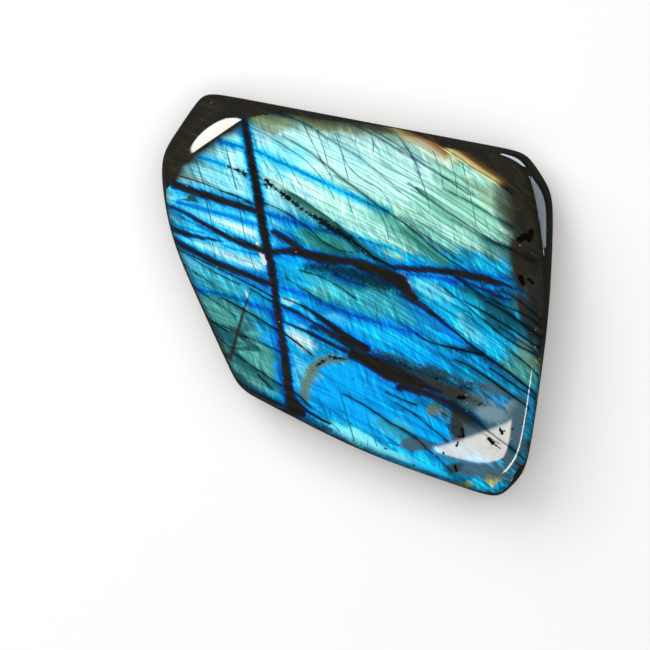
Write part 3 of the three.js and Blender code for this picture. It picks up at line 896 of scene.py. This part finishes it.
def beside_line(wires, given):
    """How far along a bowed line each point is, from 0 to 1, and how far to its left in mm."""
    offset = wires.vector("SUBTRACT", given["Position"], given["Start"])
    along = wires.dot(offset, given["Along axis"])
    across = wires.dot(offset, given["Across axis"])
    rise = wires.minus(along, wires.times(along, along))
    return along, wires.times_plus(rise, given["Arch"], across)


def stroke_group():
    """Distance in mm to the nearest stroke so far: a bowed line with a half width at each end."""
    wires, given = new_group(
        "stroke",
        (("Distance", "Float"),) + ALONG_A_LINE
        + (("Length", "Float"), ("Half length", "Float"), ("Half width", "Float"), ("Taper", "Float")),
        (("Distance", "Float"),))
    along, beside = beside_line(wires, given)
    from_middle = wires.math("ABSOLUTE", wires.minus(along, 0.5))
    stretch = wires.times(from_middle, given["Length"])
    beyond = wires.math("MAXIMUM", wires.minus(stretch, given["Half length"]), 0.0)
    squares = wires.times_plus(beside, beside, wires.times(beyond, beyond))
    half_width = wires.times_plus(given["Taper"], along, given["Half width"])
    own = wires.minus(wires.math("SQRT", squares), half_width)
    return close_group(wires, Distance=wires.math("MINIMUM", given["Distance"], own))


def zone_group():
    """A colour with an oval patch of another laid over it."""
    wires, given = new_group(
        "zone",
        (("Colour", "Color"), ("Position", "Vector"), ("Middle", "Vector"), ("Long axis", "Vector"),
         ("Short axis", "Vector"), ("Paint", "Color"), ("Strength", "Float")),
        (("Colour", "Color"),))
    offset = wires.vector("SUBTRACT", given["Position"], given["Middle"])
    along = wires.dot(offset, given["Long axis"])
    across = wires.dot(offset, given["Short axis"])
    squares = wires.times_plus(along, along, wires.times(across, across))
    rise = wires.ramp(wires.math("SQRT", squares), *ZONE_BORDER)
    share = wires.times(rise, given["Strength"])
    return close_group(wires, Colour=wires.mix(share, given["Colour"], given["Paint"]))


def grain_group():
    """Noise drawn out along a direction, given as an angle below +X."""
    wires, given = new_group(
        "grain",
        (("Position", "Vector"), ("Angle", "Float"), ("Stretch", "Vector"), ("Detail", "Float")),
        (("Value", "Float"),))
    turned = wires.node(
        "ShaderNodeVectorRotate", {"Vector": given["Position"], "Angle": given["Angle"]},
        rotation_type="Z_AXIS")
    drawn = wires.vector("DIVIDE", turned.outputs[0], given["Stretch"])
    return close_group(wires, Value=wires.noise(drawn, 1.0, given["Detail"]).outputs["Fac"])


def sheet_group():
    """Overlapping sheets laid over a colour: each one deepens it towards a sharp dark edge."""
    wires, given = new_group(
        "sheets",
        (("Colour", "Color"), ("Value", "Float"), ("Count", "Float"), ("Shading", "Float"),
         ("Shade", "Color"), ("Edge width", "Float"), ("Edge strength", "Float"), ("Ink", "Color")),
        (("Colour", "Color"),))
    step = wires.math("FRACT", wires.times(given["Value"], given["Count"]))
    deeper = wires.mix(1.0, given["Colour"], given["Shade"], "MULTIPLY")
    rest = wires.minus(1.0, step)
    deepening = wires.times(wires.times(rest, rest), given["Shading"])
    shaded = wires.mix(deepening, given["Colour"], deeper)
    edge = wires.times(wires.ramp(step, given["Edge width"], 0.0), given["Edge strength"])
    return close_group(wires, Colour=wires.mix(edge, shaded, given["Ink"]))


def fold_group():
    """One layer's edge: a colour that starts along a bowed line and fades to one side."""
    wires, given = new_group(
        "fold",
        (("Colour", "Color"),) + ALONG_A_LINE
        + (("Side", "Float"), ("Softness", "Float"), ("Reach", "Float"), ("Paint", "Color"),
           ("Strength", "Float")),
        (("Colour", "Color"),))
    along, beside = beside_line(wires, given)
    inwards = wires.times(beside, given["Side"])
    starts = wires.ramp(inwards, wires.times(given["Softness"], -1.0), given["Softness"])
    fades = wires.ramp(inwards, given["Reach"], 0.0)
    from_middle = wires.math("ABSOLUTE", wires.minus(along, 0.5))
    ends = wires.ramp(from_middle, *FOLD_ENDS)
    share = wires.times(wires.times(starts, fades), ends)
    share = wires.times(share, given["Strength"])
    return close_group(wires, Colour=wires.mix(share, given["Colour"], given["Paint"]))


class StoneShader:
    """Builds the stone's material. Each step takes the colour so far and returns it changed."""

    def __init__(self, material, form, colours):
        material.node_tree.nodes.clear()
        self.wires = Wires(material.node_tree)
        self.colours = colours
        self.strokes, self.zones, self.folds = stroke_group(), zone_group(), fold_group()
        self.grains, self.sheets = grain_group(), sheet_group()
        self.find_places(form)
        self.stone = self.dark_stone()

    def paint(self, name):
        """A colour by its name, where stone is the mottled one of the dark stone."""
        return self.stone if name == "stone" else linear(getattr(self.colours, name))

    def grain(self, position, angle, length, breadth, detail=1.0):
        stretch = (length, breadth, breadth)
        return self.wires.group(self.grains, {
            "Position": position, "Angle": math.radians(angle), "Stretch": stretch, "Detail": detail})

    def distance(self, strokes):
        """Distance in mm from each point to the nearest of several strokes."""
        nearest = FAR
        for start, end, bow, start_half, end_half in strokes:
            length = math.dist(start, end)
            nearest = self.wires.group(self.strokes, {
                **line_inputs(self.on_lines, start, end, bow), "Distance": nearest, "Length": length,
                "Half length": length / 2, "Half width": start_half, "Taper": end_half - start_half})
        return nearest

    def ragged(self, strokes, raggedness):
        """The same distance, for strokes with ragged borders."""
        return self.wires.times_plus(self.rough, raggedness, self.distance(strokes))

    def towards(self, *direction):
        """How far each point lies in a direction."""
        return self.wires.dot(self.place, direction)

    def lay(self, colour, name, factor):
        """A colour with another laid over it."""
        return self.wires.mix(factor, colour, self.paint(name))

    def deepen(self, colour, factor):
        """The same flash seen deeper in the stone: darker, and with hardly any red."""
        return self.tint(colour, "depth", factor)

    def tint(self, colour, name, factor):
        """A flash seen through coloured stone."""
        return self.wires.mix(factor, colour, self.paint(name), "MULTIPLY")

    def find_places(self, form):
        """Places in mm on the flash face. Lines and layers slant sideways as they go down."""
        wires = self.wires
        self.place = wires.scaled(wires.node("ShaderNodeTexCoord").outputs["Object"], 1 / MM)
        level = wires.vector("MULTIPLY", self.place, sideways(1.0))
        dome = wires.times(wires.dot(level, level), MM / (2 * form.crown_radius))
        height = self.towards(0, 0, 1)
        self.depth = wires.minus(wires.minus(form.height / MM, dome), height)
        slanted = wires.vector("ADD", level, wires.scaled(LAYER_SLANT, self.depth))
        wander = wires.vector(
            "SUBTRACT", wires.noise(self.place, 0.12, 1.5).outputs["Color"], MIDDLE_GREY)
        self.on_lines = wires.vector("MULTIPLY_ADD", wander, sideways(LINE_WANDER), slanted)
        self.on_folds = wires.vector("ADD", self.on_lines, sideways(FOLD_SHIFT))
        self.on_silk = wires.vector("MULTIPLY_ADD", wander, sideways(SILK_WANDER), slanted)
        across = wires.dot(slanted, (1, 0, 0))
        bend = wires.times(wires.times(across, across), LAYER_BEND)
        self.on_layers = wires.vector("ADD", self.on_lines, wires.scaled((0, 1, 0), bend))
        self.layers = self.grain(self.on_layers, 28, 60.0, 2.6)
        self.fine_layers = self.grain(self.on_layers, 29, 40.0, 1.0)
        self.drift = wires.vector(
            "SUBTRACT", wires.noise(self.place, 0.16, 4, 0.6).outputs["Color"], MIDDLE_GREY)
        slide = wires.scaled(LAYER_SLIDE, wires.minus(self.layers, 0.5))
        drifted = wires.vector("MULTIPLY_ADD", self.drift, sideways(ZONE_WANDER), slanted)
        self.on_zones = wires.vector("ADD", drifted, slide)
        self.rough = wires.minus(wires.noise(self.place, 1.7, 3, 0.6).outputs["Fac"], 0.5)
        breaks = wires.minus(wires.noise(self.place, 0.5, 3, 0.6).outputs["Fac"], 0.5)
        self.breaks = wires.times(breaks, 0.35)
        teeth = self.grain(self.on_lines, 32, 6.0, 0.6, 3.0)
        self.teeth = wires.times_plus(teeth, 1.2, -0.6)

    def lay_zones(self, colour, zones, position):
        """Oval patches of colour with soft, drifting borders."""
        for name, middle, (half_length, half_width), turn, strength in zones:
            cosine, sine = math.cos(math.radians(turn)), math.sin(math.radians(turn))
            colour = self.wires.group(self.zones, {
                "Colour": colour, "Position": position, "Middle": middle + (0,),
                "Long axis": (cosine / half_length, sine / half_length, 0),
                "Short axis": (-sine / half_width, cosine / half_width, 0),
                "Paint": self.paint(name), "Strength": strength})
        return colour

    def lay_sheets(self, colour, value, count, shade, shading, edge_width, edge_strength, ink="ink"):
        """Overlapping sheets, as many as the count for each unit of the value."""
        return self.wires.group(self.sheets, {
            "Colour": colour, "Value": value, "Count": count, "Shading": shading,
            "Shade": self.paint(shade), "Edge width": edge_width, "Edge strength": edge_strength,
            "Ink": self.paint(ink)})

    def lay_folds(self, colour, folds, position):
        """Bowed borders with a colour to one side."""
        for start, end, bow, side, softness, reach, name, strength in folds:
            colour = self.wires.group(self.folds, {
                **line_inputs(position, start, end, bow), "Colour": colour, "Side": side,
                "Softness": softness, "Reach": reach, "Paint": self.paint(name),
                "Strength": strength})
        return colour

    def brighten(self, colour, factor):
        """The flash doubled, as where a fibre of the stone lies square to the light."""
        twice = self.wires.mix(1.0, colour, colour, "ADD")
        return self.wires.mix(factor, colour, twice)

    def lay_silk(self, colour):
        """Silky strokes that stand across the layers, some bright and some deep."""
        wires = self.wires
        plain = colour
        pools = self.grain(self.on_layers, 40, 9.0, 3.5)
        colour = self.deepen(colour, wires.ramp(pools, 0.44, 0.24, 0, 0.7))
        feathers = self.grain(self.on_silk, 64, 7.0, 0.8, 2.0)
        colour = self.deepen(colour, wires.ramp(feathers, 0.46, 0.26, 0, 0.75))
        colour = self.brighten(colour, wires.ramp(feathers, 0.50, 0.72, 0, 0.9))
        threads = self.grain(self.on_silk, 72, 9.0, 1.0)
        colour = self.lay_sheets(colour, threads, 4.0, "silk", 0.5, 0.04, 0.4, "thread")
        hatch = self.grain(self.on_silk, 66, 2.6, 0.24, 2.0)
        colour = self.deepen(colour, wires.ramp(hatch, 0.45, 0.26, 0, 0.5))
        colour = self.brighten(colour, wires.ramp(hatch, 0.56, 0.78, 0, 0.8))
        calm = wires.ramp(self.distance(CALM), 2.5, -2.5, 0, 0.7)
        return wires.mix(calm, colour, plain)

    def flash(self):
        """The play of colour, with its layers, silk and veins."""
        wires = self.wires
        colour = self.lay_zones(self.paint("base"), ZONES, self.on_zones)
        eastward = self.towards(1, 0, 0)
        layering = wires.ramp(eastward, -18.0, 14.0, 0.25, 0.9)
        colour = self.lay_sheets(colour, self.layers, 6.0, "depth", layering, 0.04, 0.4)
        colour = self.lay_silk(colour)
        fineness = wires.ramp(eastward, 12.0, 34.0, 0.05, 0.8)
        colour = self.lay_sheets(colour, self.fine_layers, 4.0, "depth", 0.5, 0.08, fineness)
        on_haze = wires.vector("MULTIPLY_ADD", self.drift, sideways(HAZE_WANDER), self.on_lines)
        colour = self.lay_folds(colour, FOLDS, self.on_folds)
        colour = self.lay_zones(colour, HAZE, on_haze)
        colour = self.lay_folds(colour, EDGES, on_haze)
        colour = self.lay_folds(colour, CORNER, self.on_folds)
        arc = wires.plus(self.ragged(OLIVE_ARC, 3.0), self.teeth)
        colour = self.lay(colour, "olive", wires.ramp(arc, 0.6, -0.6, 0, 0.85))
        deep = wires.times_plus(self.teeth, 1.5, self.ragged(DEPTHS, 3.0))
        colour = self.tint(colour, "deep_teal", wires.ramp(deep, 1.1, -1.0, 0, 0.9))
        blues = wires.plus(self.distance(BLUES), 0.22)
        self.seam = wires.plus(self.distance(SEAMS), self.teeth)
        blues = wires.plus(wires.math("MINIMUM", blues, self.seam), self.rough)
        colour = self.tint(colour, "glass", wires.ramp(blues, 1.6, 0.2))
        return self.tint(colour, "vein", wires.ramp(blues, 0.45, -0.1))

    def healed_cracks(self, colour):
        """Thin dark lines, stronger and weaker along their way, chains of flecks, pale threads, and
        painted highlights beside the main seam.
        """
        wires = self.wires
        threads = wires.plus(self.distance(THREADS), self.breaks)
        colour = self.lay(colour, "thread", wires.ramp(threads, 0.08, -0.08, 0, 0.8))
        hair = wires.plus(self.distance(HAIRLINES), self.breaks)
        self.cracked = wires.ramp(hair, 0.07, -0.10)
        colour = self.deepen(colour, wires.ramp(hair, 0.7, 0.0, 0, 0.45))
        northeast = self.towards(0.5, 0.87, 0)
        inking = wires.times(self.cracked, wires.ramp(northeast, 8.0, 22.0, 0.95, 0.7))
        colour = self.lay(colour, "ink", inking)
        flecks = self.ragged(FLECKS, 2.0)
        colour = self.deepen(colour, wires.ramp(flecks, 0.5, 0.0, 0, 0.6))
        colour = self.lay(colour, "ink", wires.ramp(flecks, 0.12, -0.12))
        # Pale threads, and painted highlights beside the main seam
        pale_threads_and_glints = wires.plus(self.distance(PALE_THREADS_AND_GLINTS), wires.times(self.rough, 0.4))
        return self.lay(colour, "pearl_and_glint", wires.ramp(pale_threads_and_glints, 0.10, -0.15, 0, 0.8))

    def dust(self, colour):
        """Pale and dark specks just under the polish."""
        wires = self.wires
        cells = wires.node("ShaderNodeTexVoronoi", {"Vector": self.place, "Scale": 0.6}).outputs
        spot = wires.ramp(cells["Distance"], 0.11, 0.05)
        draw = wires.dot(cells["Color"], (1, 0, 0))
        colour = self.lay(colour, "tan", wires.times(spot, wires.ramp(draw, 0.72, 0.74, 0, 0.8)))
        return self.lay(colour, "ink", wires.times(spot, wires.ramp(draw, 0.32, 0.30, 0, 0.8)))

    def seams(self, colour):
        """Black-brown seams, which darken through blue and navy towards their filling."""
        wires = self.wires
        smoke = wires.plus(self.ragged(SMOKE, 2.5), self.teeth)
        colour = self.lay(colour, "brown", wires.ramp(smoke, 0.7, -0.7, 0, 0.9))
        mottle = self.grain(self.on_lines, 27, 4.0, 0.9, 5.0)
        browning = wires.ramp(mottle, 0.48, 0.62, 0, 0.6)
        filling = wires.mix(browning, self.paint("seam"), self.paint("umber"))
        brown = wires.plus(self.distance(DARK_SEAM), wires.times(self.rough, 0.4))
        colour = self.lay(colour, "umber", wires.ramp(brown, 0.25, -0.2, 0, 0.9))
        colour = self.lay(colour, "navy", wires.ramp(self.seam, 0.42, -0.05, 0, 0.8))
        return wires.mix(wires.ramp(self.seam, 0.25, -0.45), colour, filling)

    def dark_stone(self):
        """The stone as it looks where no flash comes from it."""
        wires = self.wires
        mottle = wires.noise(self.place, 0.35, 5, 0.65).outputs["Fac"]
        colour = wires.mix(wires.ramp(mottle, 0.38, 0.68), self.paint("charcoal"), self.paint("umber"))
        lines = wires.math("FRACT", wires.times(self.fine_layers, 5.0))
        return self.lay(colour, "olive", wires.ramp(lines, 0.12, 0.0, 0, 0.22))

    def flash_shows(self):
        """Where the flash is painted: as a sheen on what faces the right way, up to the overhead camera,
        and for some depth round the rim.
        """
        wires = self.wires
        normal = wires.node("ShaderNodeNewGeometry").outputs["Normal"]
        facing = wires.dot(normal, FLASH_FACING)
        facing = wires.times_plus(wires.minus(self.layers, 0.5), LAYER_TILT, facing)
        gain = self.towards(*FLASH_GAIN)
        depth_at_right = wires.ramp(self.towards(1, 0, 0), -8.0, 8.0, 1.5, 7.5)
        depth_at_foot = wires.ramp(self.towards(0, 1, 0), 26.0, 18.0, 1.5, 6.0)
        limit = wires.math("MAXIMUM", depth_at_right, depth_at_foot)
        rim = wires.ramp(wires.minus(self.depth, limit), 0.6, -0.6)
        glow = wires.plus(self.distance(RIM_GLOW), self.teeth)
        rim = wires.times(rim, wires.ramp(glow, 1.5, -0.5))
        return wires.ramp(wires.plus(wires.plus(facing, gain), rim), 0.84, 0.93)

    def build(self):
        """The whole material: its colour, its polish and the hollows of the pits."""
        wires = self.wires
        shows = self.flash_shows()
        colour = self.healed_cracks(self.flash())
        # Painted sheen: the flash's colours where a face turns up to the camera, the dark stone elsewhere
        colour = wires.mix(shows, self.stone, colour)
        colour = self.dust(self.seams(colour))
        pitted = wires.ramp(self.ragged(PITS, 0.8), 0.12, -0.1)
        colour = self.lay(colour, "pit", pitted)
        broken = wires.math("MAXIMUM", pitted, wires.times(self.cracked, 0.7))
        polish = wires.minus(1.0, broken)
        hollow = wires.times(pitted, -PIT_DEPTH)
        bump = wires.node("ShaderNodeBump", {"Height": hollow, "Distance": MM, "Strength": 1.0})
        shader = wires.node("ShaderNodeBsdfPrincipled", {
            "Base Color": colour, "Roughness": BODY_ROUGHNESS, "Specular IOR Level": 0.0,
            "Normal": bump.outputs["Normal"], "Coat Weight": polish,
            "Coat Roughness": POLISH_ROUGHNESS, "Coat IOR": POLISH_INDEX})
        wires.node("ShaderNodeOutputMaterial", {"Surface": shader.outputs[0]})


def polished_material(form, colours):
    """Labradorite: flash colours under a glassy polish, crossed by seams, over dark stone."""
    material = bpy.data.materials.new(SLOT)
    material.use_nodes = True
    StoneShader(material, form, colours).build()
    return material


def floor_material(colour):
    """Pale, matt and faintly uneven."""
    material = bpy.data.materials.new("pale_floor")
    material.use_nodes = True
    tree = material.node_tree
    tree.nodes.clear()
    wires = Wires(tree)
    place = wires.node("ShaderNodeTexCoord").outputs["Object"]
    cloud = wires.noise(place, 14, 5, 0.55).outputs["Fac"]
    shade = wires.mix(wires.ramp(cloud, 0.3, 0.7, 0, 0.04), linear(colour), linear(FLOOR_SHADE))
    shader = wires.node("ShaderNodeBsdfPrincipled", {"Base Color": shade, "Roughness": 0.75})
    wires.node("ShaderNodeOutputMaterial", {"Surface": shader.outputs[0]})
    return material


def show(name, data):
    """A new object in the scene, at the origin."""
    shown = bpy.data.objects.new(name, data)
    bpy.context.scene.collection.objects.link(shown)
    return shown


def aimed(bearing, tilt, roll, distance):
    """The place of something that faces the stone, at a bearing and a tilt from straight overhead."""
    turn, away = math.radians(bearing), math.radians(tilt)
    aim = Vector((math.sin(away) * math.cos(turn), math.sin(away) * math.sin(turn), math.cos(away)))
    facing = aim.to_track_quat("Z", "Y").to_matrix().to_4x4()
    return Matrix.Translation(aim * distance) @ facing @ Matrix.Rotation(math.radians(roll), 4, "Z")


def on_floor(x, y, turn):
    """A place just above the floor, x and y mm from the stone's middle and turned by some degrees."""
    place = Matrix.Translation(Vector((x, y, PANE_HEIGHT)) * MM)
    return place @ Matrix.Rotation(math.radians(turn), 4, "Z")


def softbox(name, place, width, height, power):
    """A broad light that brightens the stone and the floor and isn't mirrored in the polish."""
    data = bpy.data.lights.new(name, "AREA")
    data.shape = "RECTANGLE"
    data.size, data.size_y = width, height
    data.energy = power
    light = show(name, data)
    light.matrix_world = place
    light.visible_glossy = False


def window_material(name, brightness, shape, tint):
    """A glow with soft borders, in the shape of a band, a wedge or a standing half circle."""
    material = bpy.data.materials.new(name)
    material.use_nodes = True
    tree = material.node_tree
    tree.nodes.clear()
    wires = Wires(tree)
    place = wires.node("ShaderNodeTexCoord").outputs["Object"]
    across = wires.dot(place, (1, 0, 0))
    up = wires.dot(place, (0, 1, 0))
    if shape == "arch":
        side = wires.ramp(wires.vector("LENGTH", place), 1.0, 0.9)
        ends = wires.ramp(up, 0.0, 0.06)
    else:
        side = wires.ramp(wires.math("ABSOLUTE", across), 1.0, 0.9)
        reach = wires.times_plus(across, 0.4 if shape == "wedge" else 0.0, 0.6)
        ends = wires.ramp(wires.minus(wires.math("ABSOLUTE", up), reach), 0.0, -0.15)
    glow = wires.times(wires.times(side, ends), brightness)
    shader = wires.node("ShaderNodeEmission", {"Color": (*tint, 1.0), "Strength": glow})
    wires.node("ShaderNodeOutputMaterial", {"Surface": shader.outputs[0]})
    return material


def window(name, place, width, height, brightness, shape, tint):
    """A bright pane that is only seen mirrored in the polish."""
    bm = bmesh.new()
    bmesh.ops.create_grid(bm, x_segments=1, y_segments=1, size=1)
    mesh = bpy.data.meshes.new(name)
    bm.to_mesh(mesh)
    bm.free()
    mesh.materials.append(window_material(name, brightness, shape, tint))
    pane = show(name, mesh)
    pane.matrix_world = place @ Matrix.Diagonal((width / 2, height / 2, 1, 1))
    pane.visible_diffuse = False
    pane.visible_camera = False
    pane.visible_shadow = False


def black_card(name):
    """A dark disc round the stone's foot, only seen mirrored in the stone's steep sides."""
    bm = bmesh.new()
    bmesh.ops.create_circle(bm, cap_ends=True, segments=64, radius=CARD_RADIUS)
    mesh = bpy.data.meshes.new(name)
    bm.to_mesh(mesh)
    bm.free()
    material = bpy.data.materials.new(name)
    material.use_nodes = True
    shader = material.node_tree.nodes["Principled BSDF"]
    shader.inputs["Base Color"].default_value = CARD_COLOUR
    shader.inputs["Roughness"].default_value = 0.9
    mesh.materials.append(material)
    card = show(name, mesh)
    card.location.z = CARD_HEIGHT
    card.visible_diffuse = False
    card.visible_camera = False
    card.visible_shadow = False


class LABRADORITE_OT_grind_stone(bpy.types.Operator):
    """Grind the smooth stone and give it its flash"""

    bl_idname = "labradorite.grind_stone"
    bl_label = "Grind and polish the stone"

    def execute(self, context):
        scene = context.scene
        stone = show("labradorite_polished", stone_mesh(scene.stone_form))
        stone.data.materials.append(polished_material(scene.stone_form, scene.stone_colours))
        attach(stone, BODY)
        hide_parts(NODE)
        return {"FINISHED"}


class LABRADORITE_OT_set_stage(bpy.types.Operator):
    """Lay the floor, hang the lights and set the camera above the stone"""

    bl_idname = "labradorite.set_stage"
    bl_label = "Set the stage"

    def execute(self, context):
        settings = context.scene.stage_settings
        self.floor(settings)
        self.lights(context.scene, settings)
        self.camera(context.scene, settings)
        return {"FINISHED"}

    @staticmethod
    def floor(settings):
        bm = bmesh.new()
        bmesh.ops.create_grid(bm, x_segments=1, y_segments=1, size=FLOOR_HALF_WIDTH)
        mesh = bpy.data.meshes.new("floor")
        bm.to_mesh(mesh)
        bm.free()
        floor = show("floor", mesh)
        mesh.materials.append(floor_material(settings.floor))

    @staticmethod
    def lights(scene, settings):
        for name, aim, distance, width, height, power in SOFTBOXES:
            softbox(name, aimed(*aim, distance), width, height, power)
        for name, aim, distance, width, height, brightness, shape, tint in WINDOWS:
            window(name, aimed(*aim, distance), width, height, brightness, shape, tint)
        black_card("card")
        for name, place, width, height, brightness in FLOOR_PANES:
            window(name, on_floor(*place), width, height, brightness, "band", COOL)
        world = bpy.data.worlds.new("studio")
        world.use_nodes = True
        background = world.node_tree.nodes["Background"]
        background.inputs["Color"].default_value = SKY_COLOUR
        background.inputs["Strength"].default_value = settings.sky
        scene.world = world
        scene.view_settings.view_transform = "Standard"

    @staticmethod
    def camera(scene, settings):
        data = bpy.data.cameras.new("overhead")
        data.sensor_width = SENSOR_WIDTH
        distance = settings.camera_height - scene.stone_form.girdle
        data.lens = data.sensor_width * distance / settings.frame_width
        camera = show("overhead", data)
        camera.location = (settings.camera_x, settings.camera_y, settings.camera_height)
        scene.camera = camera


class LABRADORITE_PT_panel(bpy.types.Panel):
    """Lists what makes the stone, and the sizes and colours that can be changed"""

    bl_idname = "LABRADORITE_PT_panel"
    bl_label = "Labradorite Freeform"
    bl_space_type = "VIEW_3D"
    bl_region_type = "UI"
    bl_category = "Stone"

    def draw(self, context):
        for operator in OPERATORS:
            self.layout.operator(operator.bl_idname)
        for name in SETTINGS:
            box = self.layout.box()
            for key in getattr(context.scene, name).__annotations__:
                box.prop(getattr(context.scene, name), key)


SETTINGS = {"stone_form": StoneForm, "stone_colours": StoneColours, "stage_settings": StageSettings}
OPERATORS = (LABRADORITE_OT_grind_stone, LABRADORITE_OT_set_stage)


def register():
    for settings_class in SETTINGS.values():
        bpy.utils.register_class(settings_class)
    for name, settings_class in SETTINGS.items():
        setattr(bpy.types.Scene, name, bpy.props.PointerProperty(type=settings_class))
    for shown_class in OPERATORS + (LABRADORITE_PT_panel,):
        bpy.utils.register_class(shown_class)


def unregister():
    for shown_class in (LABRADORITE_PT_panel,) + OPERATORS:
        bpy.utils.unregister_class(shown_class)
    for name, settings_class in SETTINGS.items():
        delattr(bpy.types.Scene, name)
        bpy.utils.unregister_class(settings_class)


def main():
    register()
    bpy.ops.labradorite.grind_stone()
    bpy.ops.labradorite.set_stage()


if __name__ == "__main__":
    main()
